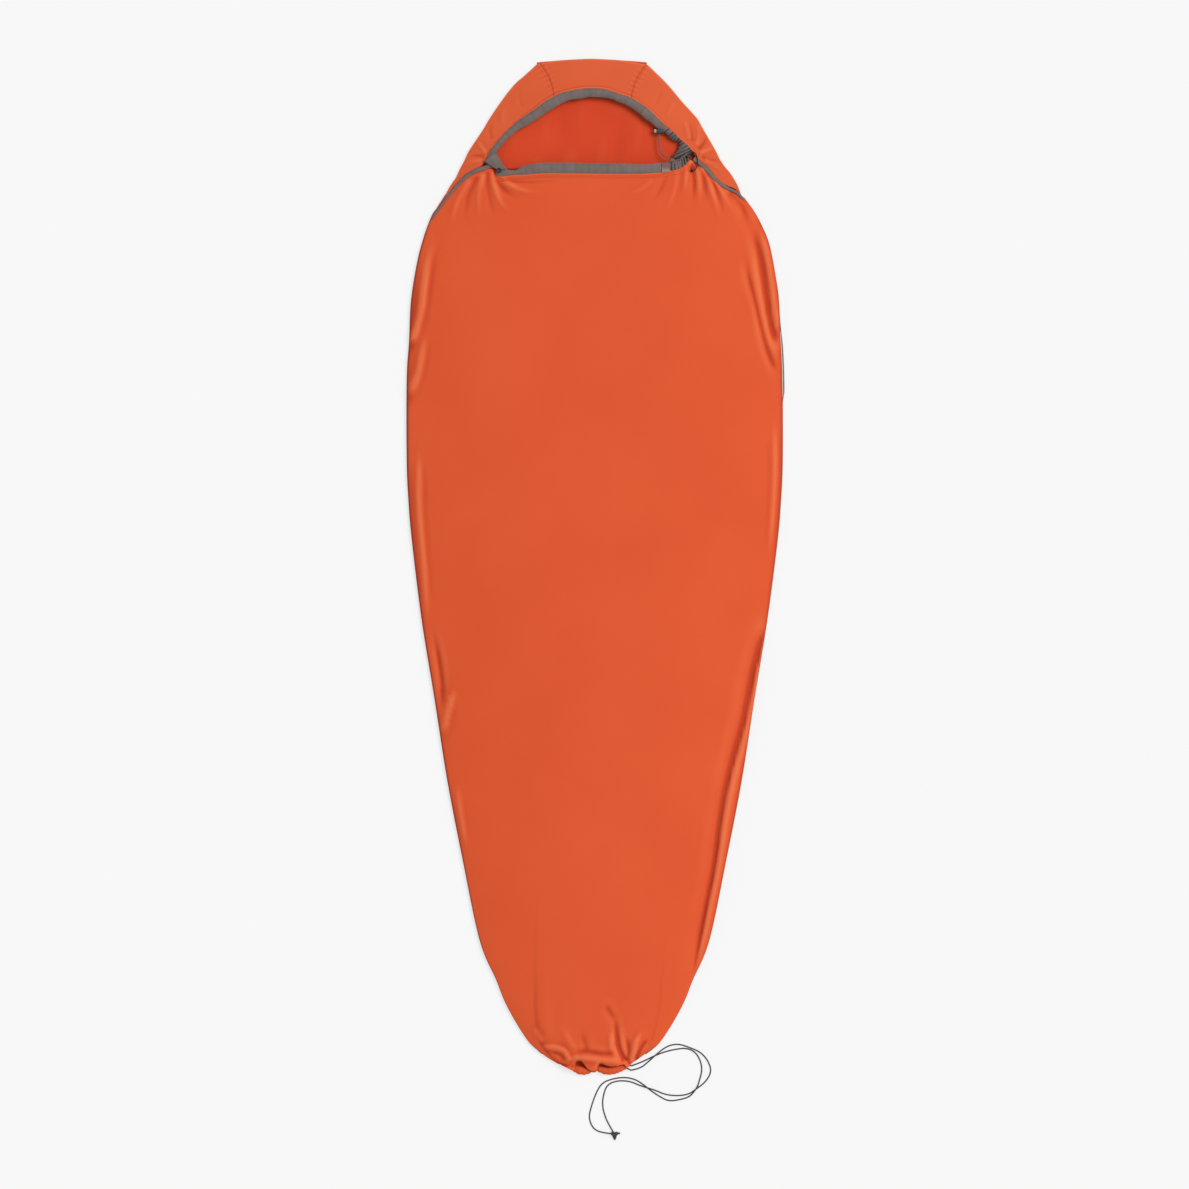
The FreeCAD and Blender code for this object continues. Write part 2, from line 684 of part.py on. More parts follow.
hood_pull_cord = shape_object("hood_pull_cord", tube(cord_wire(HOOD_LOOP, "hood pull cord"),
                                                     num("hood_cord") / 2))
neck_pull_cord = shape_object("neck_pull_cord", tube(cord_wire(NECK_LOOP, "neck pull cord"),
                                                     num("neck_cord") / 2))
foot_cord_outer = shape_object("foot_cord_outer", tube(cord_wire(FOOT_OUTER, "outer foot cord"),
                                                       num("foot_cord") / 2))
foot_cord_inner = shape_object("foot_cord_inner", tube(cord_wire(FOOT_INNER, "inner foot cord"),
                                                       num("foot_cord") / 2))
HEM_WIRE = cord_wire(HEM_CORD, "cord in the hem")
foot_hem_cord = shape_object("foot_hem_cord", tube(HEM_WIRE, num("foot_cord") / 2))


def rim_cord():
    """The hood cord's stretch inside the rim binding, from the left corner to the slit."""
    apart = num("hood_cord") + num("cord_joint")
    start = num("slit_angle") + math.degrees(apart / num("rim_radius"))
    turn = Rotation(Vector(0, 0, 1), start)
    body = new_body("hood_rim_cord", size("rim_middle_x"), RIM_Y, size("rim_level"), turn)
    sketch = new_sketch(body, "section", "XZ_Plane")
    disc(sketch, size("rim_radius"), 0, size("hood_cord") / 2)
    feature = revolve(body, "sweep", sketch)
    end = num("rim_to_angle") - math.degrees(num("cord_joint") / num("rim_radius"))
    feature.Angle = end - start
    return body


hood_rim_cord = rim_cord()


def neck_channel_cord():
    """The neck cord's stretch inside the neck binding."""
    radius = num("neck_cord") / 2
    edges = NECK_WIRE.Edges
    start = edges[0].valueAt(edges[0].FirstParameter)
    heading = edges[0].tangentAt(edges[0].FirstParameter)
    ring = Part.Wire(Part.makeCircle(radius, start, heading))
    whole = NECK_WIRE.makePipeShell([ring], True, False)
    away = NECK_END - NECK_HEADING * (num("neck_cord_start") + num("cord_joint"))
    block = Part.makeCylinder(num("neck_width"), num("neck_width") * 2, away, NECK_HEADING)
    return shape_object("neck_channel_cord", whole.cut(block))


neck_channel_cord()

# ---------------------------------------------------------------- gathered foot hem


def foot_hem():
    """The rolled hem round the drawn-up foot, with its cord channel and the last small gap."""
    body = new_body("hem_roll")
    sketch = cross_section(body, "roll", BODY_END, size("mouth_width"), size("mouth_loft"),
                           Size.of(0))
    pad = add_feature(body, "Pad", "roll_pad", sketch, Length=size("hem_length"))
    pad.Reversed = False
    gap = new_sketch(body, "gap", "XZ_Plane", BODY_END - HEAD)
    half = size("hem_mouth_width") / 2
    level = size("hem_mouth_level")
    high = size("hem_mouth_gap") / 2
    outline(gap, [(-half, level - high), (half, level - high), (half, level + high),
                  (-half, level + high)])
    pocket = add_feature(body, "Pocket", "gap_cut", gap, Length=size("hem_length") * 3)
    pocket.Midplane = True
    bore = num("foot_cord") / 2 + num("channel_clear")
    channel = shape_object("hem_channel", tube(HEM_WIRE, bore))
    return combine("Cut", "foot_hem", body, channel)


foot_hem = foot_hem()

# ---------------------------------------------------------------- label, tab, ring, anchor


def on_neck(angle):
    """A placement on the neck binding's flat outer face, past its bend."""
    point = NECK_BEND_POINT(angle)
    lean = Rotation(Vector(0, 1, 0), math.degrees(NECK_SLOPE))
    turn = Rotation(Vector(0, 0, 1), angle)
    up = lean.multVec(Vector(0, 0, num("neck_height") / 2))
    return point + up, lean.multiply(turn)


def plate(label, length, width, thick, place, turn):
    box = doc.addObject("Part::Box", label)
    box.Label = label
    bind(box, "Length", size(length))
    bind(box, "Width", size(width))
    bind(box, "Height", size(thick))
    shift = turn.multVec(Vector(-num(length) / 2, -num(width) / 2, 0))
    box.Placement = Placement(place + shift, turn)
    return box


neck_label = plate("neck_label", "label_length", "label_width", "label_thick",
                   *on_neck(num("label_angle")))


def left_corner():
    """The rim's end folded over the left corner, lying on the neck binding, and its ring."""
    x = NECK_LEFT + num("tab_in")
    bow_radius = num("neck_bow")
    lean = math.asin(x / bow_radius)
    rotation = Rotation(Vector(0, 1, 0), math.degrees(lean))
    up = rotation.multVec(Vector(0, 0, 1))
    centre = Vector(0, NECK_Y, num("neck_level") - bow_radius)
    place = centre + up * (bow_radius + num("neck_height") / 2)
    place.y = NECK_Y + num("tab_shift")
    turn = rotation.multiply(Rotation(Vector(0, 0, 1), 90 + num("tab_angle") / 2))
    tab = plate("left_corner_tab", "tab_length", "tab_width", "tab_thick", place, turn)
    ring = doc.addObject("Part::Torus", "left_corner_ring")
    ring.Label = "left_corner_ring"
    bind(ring, "Radius1", size("ring_radius"))
    bind(ring, "Radius2", size("ring_wire"))
    lift = Vector(num("ring_dx"), num("ring_dy"), num("tab_thick") + num("ring_wire"))
    ring.Placement = Placement(place + rotation.multVec(lift), rotation)
    return tab, ring


left_corner()


def cord_anchor():
    """The small folded tab that holds the hood cord's end on the neck binding."""
    end = Vector(*HOOD_LOOP[-1])
    heading = (end - Vector(*HOOD_LOOP[-2])).normalize()
    turn = Rotation(Vector(1, 0, 0), heading)
    high = num("hood_cord") + num("cord_slack") * 2 + num("anchor_cover")
    wide = high + num("anchor_flare")
    grip = num("anchor_grip")
    box = Part.makeBox(num("anchor_length"), wide, high)
    long_edges = [edge for edge in box.Edges if abs(edge.tangentAt(0).x) > 0.9]
    box = box.makeFillet(num("anchor_round"), long_edges)
    box.translate(Vector(-grip, -wide / 2, -high / 2))
    hole = Part.makeCylinder(num("hood_cord") / 2, grip, Vector(-grip, 0, 0), Vector(1, 0, 0))
    body = box.cut(hole)
    body.Placement = Placement(end, turn)
    anchor = body.cut(neck_solid.Shape)
    return shape_object("hood_cord_anchor", anchor)


cord_anchor()

# ---------------------------------------------------------------- cord locks


def lock_sizes(prefix):
    cord = size(f"{prefix}_cord") / 2 + size("cord_slack")
    travel = size(f"{prefix}_button_travel")
    slot_low = -cord
    slot_high = cord + travel
    foot = slot_low - size("lock_foot")
    floor = foot - travel - size("spring_room")
    base = floor - size("lock_floor")
    top = slot_high + size("fit")
    return cord, travel, slot_low, slot_high, foot, floor, base, top


def lock_barrel(prefix, place, turn):
    """The lock's barrel, a cup with a cross bore for the cord."""
    cord, travel, low, high, foot, floor, base, top = lock_sizes(prefix)
    radius = size(f"{prefix}_lock_radius")
    r = size("lock_round")
    bore = size(f"{prefix}_button_radius") + size("fit")
    body = new_body(f"{prefix}_lock_barrel", *place, turn)
    sketch = new_sketch(body, "outside")
    points = [(Size.of(0), base), (radius - r, base), (radius, base + r), (radius, top - r),
              (radius - r / 2, top), (Size.of(0), top)]
    outline(sketch, points, {1: r})
    revolve(body, "barrel", sketch)
    sketch = new_sketch(body, "bore")
    over = top + size(f"{prefix}_button_travel")
    outline(sketch, [(Size.of(0), floor), (bore, floor), (bore, over), (Size.of(0), over)])
    revolve(body, "bore_cut", sketch, "Groove")
    sketch = new_sketch(body, "cord_hole", "YZ_Plane")
    disc(sketch, Size.of(0), Size.of(0), cord)
    cut = add_feature(body, "Pocket", "cord_cut", sketch, Length=radius * 4)
    cut.Midplane = True
    return body


def lock_button(prefix, place, turn):
    """The sprung button, a peg with a long slot for the cord."""
    cord, travel, low, high, foot, floor, base, top = lock_sizes(prefix)
    radius = size(f"{prefix}_button_radius")
    r = size("lock_round")
    tip = top + travel + size("button_proud")
    body = new_body(f"{prefix}_lock_button", *place, turn)
    sketch = new_sketch(body, "outside")
    points = [(Size.of(0), foot), (radius, foot), (radius, tip - r), (radius - r, tip),
              (Size.of(0), tip)]
    outline(sketch, points, {2: r})
    revolve(body, "peg", sketch)
    sketch = new_sketch(body, "slot", "YZ_Plane")
    outline(sketch, [(low, -cord), (high, -cord), (high, cord), (low, cord)])
    cut = add_feature(body, "Pocket", "slot_cut", sketch, Length=radius * 4)
    cut.Midplane = True
    return body


def lock_spring(prefix, place, turn):
    """The spring under the button, wound as rings at its working pitch."""
    cord, travel, low, high, foot, floor, base, top = lock_sizes(prefix)
    wire = num("spring_wire") / 2
    radius = float(size(f"{prefix}_button_radius")) - 2 * wire
    start = float(floor) + wire
    end = float(foot) - wire
    count = 3
    helix = Part.makeHelix((end - start) / count, end - start, radius)
    corners = [(-wire, -wire), (wire, -wire), (wire, wire), (-wire, wire), (-wire, -wire)]
    ring = Part.makePolygon([Vector(radius + a, 0, b) for a, b in corners])
    solid = Part.Wire(helix.Edges).makePipeShell([ring], True, True)
    solid.rotate(Vector(), Vector(1, 0, 0), -90)
    solid.translate(Vector(0, start, 0))
    spring = doc.addObject("Part::Feature", f"{prefix}_lock_spring")
    spring.Label = f"{prefix}_lock_spring"
    spring.Shape = solid
    spring.Placement = Placement(Vector(*place), turn).multiply(spring.Placement)
    return spring


def cord_lock(prefix, place, turn):
    place = [float(value) for value in place]
    lock_barrel(prefix, place, turn)
    lock_button(prefix, place, turn)
    lock_spring(prefix, place, turn)


hood_run = Vector(*HOOD_LOOP[2]) - Vector(*HOOD_LOOP[1])
hood_heading = math.degrees(math.atan2(hood_run.y, hood_run.x))
hood_spot = Vector(*HOOD_LOOP[1]) + hood_run.normalize() * num("hood_lock_along")
cord_lock("hood", hood_spot, Rotation(Vector(0, 0, 1), hood_heading + 180))

neck_spot = NECK_END + NECK_HEADING * num("neck_lock_along")
neck_turn = Rotation(Vector(1, 0, 0), NECK_HEADING).multiply(Rotation(Vector(1, 0, 0), 90))
cord_lock("neck", neck_spot, neck_turn)

# ---------------------------------------------------------------- knots


def foot_knot():
    """The stopper knot that joins the two foot cords, flattened a little."""
    radius = size("foot_knot_radius")
    half = size("foot_knot_height") / 2
    lift = half + size("floor_clear")
    place = HEAD - size("bag_length") - size("foot_knot_below")
    body = new_body("foot_cord_knot", size("foot_knot_x"), place, lift)
    sketch = new_sketch(body, "outside", "XZ_Plane")
    r = size("foot_knot_round")
    points = [(Size.of(0), -half), (radius - r, -half), (radius, r - half), (radius, half - r),
              (radius - r, half), (Size.of(0), half)]
    outline(sketch, points, {1: r, 3: r})
    revolve(body, "turned", sketch)
    return body


def neck_knot():
    tip = Vector(*NECK_LOOP[-1])
    back = (tip - Vector(*NECK_LOOP[-2])).normalize()
    ball = doc.addObject("Part::Sphere", "neck_cord_knot")
    ball.Label = "neck_cord_knot"
    bind(ball, "Radius", size("neck_knot_radius"))
    out = num("neck_knot_radius") - num("neck_knot_grip")
    ball.Placement = Placement(tip + back * out, Rotation())
    return ball


foot_knot()
neck_knot()

# ---------------------------------------------------------------- check and write

NODES = (
    "back_panel", "front_panel", "hood_left_panel", "hood_centre_panel", "hood_right_panel",
    "left_side_strip", "right_side_strip", "hood_rim_binding", "neck_binding", "foot_hem",
    "neck_label", "left_corner_tab", "left_corner_ring", "hood_rim_cord", "hood_pull_cord",
    "hood_cord_anchor", "neck_channel_cord", "neck_pull_cord", "neck_cord_knot",
    "foot_hem_cord", "foot_cord_outer", "foot_cord_inner", "foot_cord_knot",
    "hood_lock_barrel", "hood_lock_button", "hood_lock_spring",
    "neck_lock_barrel", "neck_lock_button", "neck_lock_spring",
)

doc.recompute()
faults = [obj.Name for obj in doc.Objects if {"Invalid", "Error"} & set(obj.State)]
if faults:
    raise RuntimeError(f"objects that failed to build: {faults}")
shapes = {}
for name in NODES:
    found = doc.getObjectsByLabel(name)
    if len(found) != 1:
        raise RuntimeError(f"{name}: {len(found)} objects have this label")
    shape = found[0].Shape
    if shape.isNull() or not shape.isValid() or shape.Volume <= 0:
        raise RuntimeError(f"{name}: its shape is not a valid solid")
    shapes[name] = shape
os.makedirs("parts", exist_ok=True)
for name, shape in shapes.items():
    shape.exportStep(f"parts/{name}.step")
    print(f"{name}: {len(shape.Solids)} solid, {shape.Volume / 1000:.2f} cm3")
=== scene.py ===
import math

import bmesh
import bpy
import numpy as np
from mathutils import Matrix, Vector


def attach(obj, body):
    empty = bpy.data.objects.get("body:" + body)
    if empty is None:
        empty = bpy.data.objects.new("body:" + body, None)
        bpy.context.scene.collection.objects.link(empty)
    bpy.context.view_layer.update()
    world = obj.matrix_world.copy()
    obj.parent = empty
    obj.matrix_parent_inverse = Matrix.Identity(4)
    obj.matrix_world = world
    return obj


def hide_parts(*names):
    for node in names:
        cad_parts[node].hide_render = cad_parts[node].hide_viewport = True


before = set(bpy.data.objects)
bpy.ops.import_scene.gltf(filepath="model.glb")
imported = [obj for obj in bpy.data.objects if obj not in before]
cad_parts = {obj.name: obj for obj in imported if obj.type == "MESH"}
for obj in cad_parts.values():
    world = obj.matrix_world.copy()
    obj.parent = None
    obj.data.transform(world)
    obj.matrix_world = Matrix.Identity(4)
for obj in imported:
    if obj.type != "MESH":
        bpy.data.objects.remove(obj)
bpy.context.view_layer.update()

# ---------------------------------------------------------------------------
# Camera, light and floor
# The bag lies on a pale floor and is seen from straight above, head at the top,
# under a large soft light from the head's right and an even white surround.
# ---------------------------------------------------------------------------

def linear(code):
    """An sRGB hex colour as linear RGBA."""
    out = []
    for i in (0, 2, 4):
        c = int(code[i:i + 2], 16) / 255
        out.append(c / 12.92 if c <= 0.04045 else ((c + 0.055) / 1.055) ** 2.4)
    return (*out, 1.0)


def add(tree, kind, links=None, **settings):
    """Add a node; links maps input names to sockets or values."""
    made = tree.nodes.new(kind)
    for name, value in settings.items():
        setattr(made, name, value)
    for name, value in (links or {}).items():
        if isinstance(value, bpy.types.NodeSocket):
            tree.links.new(value, made.inputs[name])
        else:
            made.inputs[name].default_value = value
    return made


def new_material(name):
    """A material with an empty tree, its output and its Principled shader."""
    made = bpy.data.materials.new(name)
    made.use_nodes = True
    tree = made.node_tree
    tree.nodes.clear()
    shader = add(tree, "ShaderNodeBsdfPrincipled")
    add(tree, "ShaderNodeOutputMaterial", {"Surface": shader.outputs["BSDF"]})
    return made, tree, shader


scene = bpy.context.scene
scene.view_settings.view_transform = "Standard"

VIEW_WIDTH = 2.465
VIEW_CENTRE = Vector((0.0, -0.058, 0.0))
CAMERA_HEIGHT = 20.0
camera_data = bpy.data.cameras.new("camera")
SENSOR_WIDTH = 36
camera_data.sensor_width = SENSOR_WIDTH
camera_data.lens = SENSOR_WIDTH * CAMERA_HEIGHT / VIEW_WIDTH
camera_data.clip_end = 60
camera = bpy.data.objects.new("camera", camera_data)
camera.location = VIEW_CENTRE + Vector((0, 0, CAMERA_HEIGHT))
scene.collection.objects.link(camera)
scene.camera = camera

world = bpy.data.worlds.new("even_surround")
world.use_nodes = True
world.node_tree.nodes["Background"].inputs["Color"].default_value = (1, 1, 1, 1)
world.node_tree.nodes["Background"].inputs["Strength"].default_value = 0.5
scene.world = world

sun_data = bpy.data.lights.new("window_light", "SUN")
sun_data.energy = 2.0
sun_data.angle = math.radians(30)
sun = bpy.data.objects.new("window_light", sun_data)
sun.rotation_euler = Vector((-0.62, -0.34, -1.0)).to_track_quat("-Z", "Y").to_euler()
scene.collection.objects.link(sun)

floor_paper, tree, shader = new_material("matt_white_paper")
shader.inputs["Base Color"].default_value = linear("f6f6f6")
shader.inputs["Roughness"].default_value = 0.9
# seen directly, the paper is evenly lit and takes only a faint shadow
ray = add(tree, "ShaderNodeLightPath")
share = add(tree, "ShaderNodeMath", {0: ray.outputs["Is Camera Ray"], 1: 0.74},
            operation="MULTIPLY")
glow = add(tree, "ShaderNodeEmission", {"Color": linear("f8f8f8"), "Strength": 1.0})
blend = add(tree, "ShaderNodeMixShader", {0: share.outputs[0], 1: shader.outputs["BSDF"],
                                          2: glow.outputs["Emission"]})
tree.links.new(blend.outputs["Shader"], tree.nodes["Material Output"].inputs["Surface"])
floor_mesh = bpy.data.meshes.new("floor")
floor_mesh.from_pydata([(-9, -9, 0), (9, -9, 0), (9, 9, 0), (-9, 9, 0)], [], [(0, 1, 2, 3)])
floor_mesh.materials.append(floor_paper)
floor = bpy.data.objects.new("floor", floor_mesh)
scene.collection.objects.link(floor)

# ---------------------------------------------------------------------------
# Foot drawcord
# Braided polyester cord, 3 mm thick. Its two tails leave the hem side by side,
# lie on the floor in one loose loop, and end tied together in a stopper knot.
# ---------------------------------------------------------------------------

# the distance between two waves of a wave texture at scale 1
WAVE_PERIOD = 0.314


def braided_cord(name, dark, light, pitch):
    """Braided polyester: dull, with crossed strands that catch a little light."""
    made, tree, shader = new_material(name)
    where = add(tree, "ShaderNodeTexCoord")
    waves = []
    for turn in (0.7, -0.7):
        place = add(tree, "ShaderNodeMapping", {
            "Vector": where.outputs["Object"], "Rotation": (0.5, turn, turn)})
        waves.append(add(tree, "ShaderNodeTexWave", {
            "Vector": place.outputs["Vector"], "Scale": WAVE_PERIOD / pitch, "Distortion": 1.5}))
    cross = add(tree, "ShaderNodeMath", {0: waves[0].outputs["Fac"], 1: waves[1].outputs["Fac"]},
                operation="MULTIPLY")
    colour = add(tree, "ShaderNodeMix", {"Factor": cross.outputs[0]}, data_type="RGBA")
    colour.inputs[6].default_value = linear(dark)
    colour.inputs[7].default_value = linear(light)
    bump = add(tree, "ShaderNodeBump", {"Height": cross.outputs[0], "Strength": 0.5,
                                        "Distance": 0.0004})
    tree.links.new(colour.outputs[2], shader.inputs["Base Color"])
    tree.links.new(bump.outputs["Normal"], shader.inputs["Normal"])
    shader.inputs["Roughness"].default_value = 0.75
    return made


def smooth_spline(curve, route, diameter):
    """Add a smooth spline to the curve, with the route as its control points."""
    spline = curve.splines.new("NURBS")
    spline.points.add(len(route) - 1)
    for point, place in zip(spline.points, route):
        point.co = (*place, 1)
        point.radius = diameter / 2
    spline.order_u = 3
    spline.use_endpoint_u = True


def cord_curve(name, route, diameter, material):
    """A round cord along a smooth spline with the route as its control points."""
    curve = bpy.data.curves.new(name, "CURVE")
    curve.dimensions = "3D"
    curve.resolution_u = 10
    curve.bevel_depth = 1.0
    curve.bevel_resolution = 4
    curve.use_fill_caps = True
    smooth_spline(curve, route, diameter)
    curve.materials.append(material)
    made = bpy.data.objects.new(name, curve)
    scene.collection.objects.link(made)
    return made


def plain_mesh(obj, name):
    """Turn a curve into a smooth plain mesh."""
    mesh = bpy.data.meshes.new_from_object(obj)
    mesh.name = name
    bpy.data.objects.remove(obj)
    mesh.shade_smooth()
    made = bpy.data.objects.new(name, mesh)
    scene.collection.objects.link(made)
    return made


def settle(piece, node=None):
    """The piece rides on the bag and, given a CAD node, stands for it: that node is hidden."""
    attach(piece, "bag")
    if node:
        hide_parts(node)


def spline_length(obj):
    """The length of a cord's own line."""
    bevel = obj.data.bevel_depth
    obj.data.bevel_depth = 0
    line = bpy.data.meshes.new_from_object(obj)
    obj.data.bevel_depth = bevel
    spots = [v.co for v in line.vertices]
    return sum((b - a).length for a, b in zip(spots, spots[1:]))


def paint(node, material):
    """Give a CAD node this material."""
    obj = bpy.data.objects[node]
    obj.data.materials.clear()
    obj.data.materials.append(material)
    return obj


FOOT_CORD = 0.003
FLOOR_CORD = FOOT_CORD / 2 + 0.0001
foot_braid = braided_cord("braided_polyester_foot_cord", "3d353b", "5d545a", 0.0012)

OUTER_ROUTE = [
    (0.076, -1.044, 0.005), (0.095, -1.0405, 0.0024), (0.111, -1.027, 0.0028),
    (0.1222, -1.0167, 0.0051), (0.1298, -1.0101, 0.0051), (0.14, -1.0015, 0.0028),
    (0.155, -0.9925, FLOOR_CORD), (0.175, -0.9895, FLOOR_CORD), (0.197, -0.997, FLOOR_CORD),
    (0.22, -1.0065, FLOOR_CORD), (0.236, -1.025, FLOOR_CORD), (0.243, -1.047, FLOOR_CORD),
    (0.23, -1.069, FLOOR_CORD), (0.211, -1.083, FLOOR_CORD), (0.196, -1.094, FLOOR_CORD),
    (0.171, -1.0975, FLOOR_CORD), (0.146, -1.0945, FLOOR_CORD), (0.127, -1.086, 0.0028),
    (0.1143, -1.082, 0.0051), (0.1046, -1.0788, 0.0051), (0.093, -1.0755, 0.0028),
    (0.074, -1.067, FLOOR_CORD), (0.049, -1.0655, FLOOR_CORD), (0.027, -1.073, FLOOR_CORD),
    (0.0185, -1.094, FLOOR_CORD), (0.016, -1.118, FLOOR_CORD), (0.0225, -1.142, FLOOR_CORD),
    (0.031, -1.159, 0.0028), (0.039, -1.172, 0.0045),
]
INNER_ROUTE = [
    (0.076, -1.035, 0.0065), (0.095, -1.0285, 0.0026), (0.113, -1.02, FLOOR_CORD),
    (0.126, -1.0135, FLOOR_CORD), (0.147, -1.0055, FLOOR_CORD), (0.168, -1.0007, FLOOR_CORD),
    (0.19, -0.998, FLOOR_CORD), (0.208, -1.0055, FLOOR_CORD), (0.219, -1.022, FLOOR_CORD),
    (0.2235, -1.043, FLOOR_CORD), (0.218, -1.064, 0.0026), (0.2135, -1.078, 0.0051),
    (0.208, -1.0865, 0.0051), (0.197, -1.0995, 0.0034), (0.176, -1.1055, FLOOR_CORD),
    (0.153, -1.1085, FLOOR_CORD), (0.134, -1.098, FLOOR_CORD), (0.118, -1.0875, FLOOR_CORD),
    (0.103, -1.075, FLOOR_CORD), (0.084, -1.0625, FLOOR_CORD), (0.061, -1.0585, FLOOR_CORD),
    (0.037, -1.062, FLOOR_CORD), (0.015, -1.0705, FLOOR_CORD), (0.003, -1.092, FLOOR_CORD),
    (-0.006, -1.117, FLOOR_CORD), (-0.0125, -1.143, FLOOR_CORD), (-0.002, -1.167, FLOOR_CORD),
    (0.018, -1.174, 0.0026), (0.0355, -1.1755, 0.0045),
]


def tied_knot(name, centre, size, tails, cord, material):
    """A pulled-tight knot: a three-lobed turn of the cord with its two short ends."""
    turns = [2 * math.pi * k / 24 for k in range(24)]
    ring = [(centre[0] + size * (math.sin(t) + 1.6 * math.sin(2 * t)),
             centre[1] + size * (math.cos(t) - 1.6 * math.cos(2 * t)),
             centre[2] - cord * 0.55 * math.sin(3 * t)) for t in turns]
    made = cord_curve(name, ring + ring[:1], cord, material)
    for tail in tails:
        smooth_spline(made.data, tail, cord)
    return plain_mesh(made, name)


knot = tied_knot("foot_knot", (0.0415, -1.1775, 0.0058), 0.0027,
                 [[(0.0415, -1.1775, 0.0062), (0.044, -1.183, 0.0056), (0.0415, -1.188, 0.004)],
                  [(0.043, -1.176, 0.0068), (0.048, -1.174, 0.0062), (0.0525, -1.1752, 0.0045)],
                  [(0.0375, -1.1705, 0.0045), (0.0395, -1.1745, 0.0052), (0.0425, -1.179, 0.005)],
                  [(0.034, -1.1757, 0.0045), (0.038, -1.1765, 0.0054), (0.043, -1.177, 0.005)]],
                 0.0042, foot_braid)
settle(knot, "foot_cord_knot")
for name, route in (("foot_tail_outer", OUTER_ROUTE), ("foot_tail_inner", INNER_ROUTE)):
    tail = cord_curve(name, route, FOOT_CORD, foot_braid)
    settle(tail, name.replace("foot_tail", "foot_cord"))
    spline_length(tail)

# ---------------------------------------------------------------------------
# The bag's form
# Half widths along the bag from crown to foot, and the height that the cloth
# lies at over the back sheet; every cloth panel below is cut from this form.
# ---------------------------------------------------------------------------

def mm(rows):
    """Rows of measures in millimetres, as tuples in metres."""
    return [tuple(v / 1000 for v in row) for row in rows]


# along the bag, then across it
LEFT_EDGE = mm([
    (1040.5, -121), (1031, -130), (1014, -149), (982, -180), (943, -208), (907, -230), (860, -261),
    (824, -279), (789, -299), (769, -310), (740, -329), (723, -339), (690, -351), (635, -366),
    (552, -379.5), (470, -383.5), (387, -388.5), (221, -388.5), (138, -385), (55, -378),
    (-111, -357.5), (-277, -330.5), (-443, -304.5), (-608, -272.5), (-774, -237.5), (-857, -203),
    (-899, -186.5), (-940, -165), (-982, -138), (-1000, -120), (-1016, -100), (-1033, -70),
    (-1045, -45), (-1053, -25),
])
RIGHT_EDGE = mm([
    (1040, 110), (1022.5, 128), (1006, 145), (964, 181), (927, 214), (895, 232), (860, 252),
    (829, 270), (802, 290), (787, 298), (765, 310), (737, 330), (703, 348), (663, 363), (594, 376),
    (552, 381.5), (470, 385.5), (387, 389), (221, 389.5), (138, 386), (55, 379), (-111, 357.5),
    (-277, 330.5), (-443, 304.5), (-608, 272.5), (-774, 237.5), (-857, 203), (-899, 186.5),
    (-940, 165), (-982, 138), (-1000, 120), (-1014, 100), (-1027, 80), (-1044, 62), (-1053, 30),
])
LOFTS = mm([
    (1050, 13), (965, 21), (840, 28), (705, 36), (530, 43), (290, 46), (40, 46), (-250, 44),
    (-550, 40), (-800, 34), (-955, 27), (-1030, 22), (-1052, 19),
])
EDGE_Z = 0.0072


def through(points, per_span=12):
    """A smooth line (Catmull-Rom) through given points, sampled finely."""
    spots = [np.array(p, float) for p in points]
    spots = [2 * spots[0] - spots[1], *spots, 2 * spots[-1] - spots[-2]]
    out = []
    for a, b, c, d in zip(spots, spots[1:], spots[2:], spots[3:]):
        for k in range(per_span):
            t = k / per_span
            out.append(0.5 * (2 * b + (c - a) * t + (2 * a - 5 * b + 4 * c - d) * t * t
                              + (3 * b - a - 3 * c + d) * t ** 3))
    out.append(spots[-2])
    return np.array(out)


LEFT_LINE = through(LEFT_EDGE)[::-1]
RIGHT_LINE = through(RIGHT_EDGE)[::-1]
LOFT_LINE = through(LOFTS)[::-1]


def left_edge(y):
    return np.interp(y, LEFT_LINE[:, 0], LEFT_LINE[:, 1])


def right_edge(y):
    return np.interp(y, RIGHT_LINE[:, 0], RIGHT_LINE[:, 1])


def across_at(u, y):
    """The place across the bag of a share u, from -1 at its left edge to 1 at its right."""
    return left_edge(y) + (right_edge(y) - left_edge(y)) * (u + 1) / 2


def loft(y):
    return np.interp(y, LOFT_LINE[:, 0], LOFT_LINE[:, 1])


def along(line, count):
    """Points at equal steps along a sampled line."""
    step = np.linalg.norm(np.diff(line, axis=0), axis=1)
    reach = np.concatenate([[0], np.cumsum(step)])
    share = np.linspace(0, 1, count)
    cols = [np.interp(share * reach[-1], reach, line[:, k]) for k in range(line.shape[1])]
    return np.stack(cols, axis=1)


def smooth(t):
    t = np.clip(t, 0, 1)
    return t * t * (3 - 2 * t)


def bell(t):
    return np.exp(-t ** 2)


def fold(x, y, route, width, depth, kind, ends):
    """Height that one fold adds: a ridge, or a step down on the right of its route."""
    line = through(route, 8)
    best = np.full(x.shape, 1e9)
    side = np.zeros(x.shape)
    share = np.zeros(x.shape)
    total = len(line) - 1
    for i in range(total):
        a = line[i]
        d = line[i + 1] - a
        size = d @ d
        t = np.clip(((x - a[0]) * d[0] + (y - a[1]) * d[1]) / size, 0, 1)
        px = x - a[0] - t * d[0]
        py = y - a[1] - t * d[1]
        dist = px * px + py * py
        near = dist < best
        best = np.where(near, dist, best)
        side = np.where(near, d[0] * py - d[1] * px, side)
        share = np.where(near, (i + t) / total, share)
    away = np.sqrt(best)
    taper = smooth(share / ends[0]) * smooth((1 - share) / ends[1])
    if kind == "ridge":
        return depth * taper * bell(away / width)
    signed = np.where(side > 0, away, -away)
    fade = bell(away / (width * 7))
    return depth * taper * fade * np.tanh(signed / width)


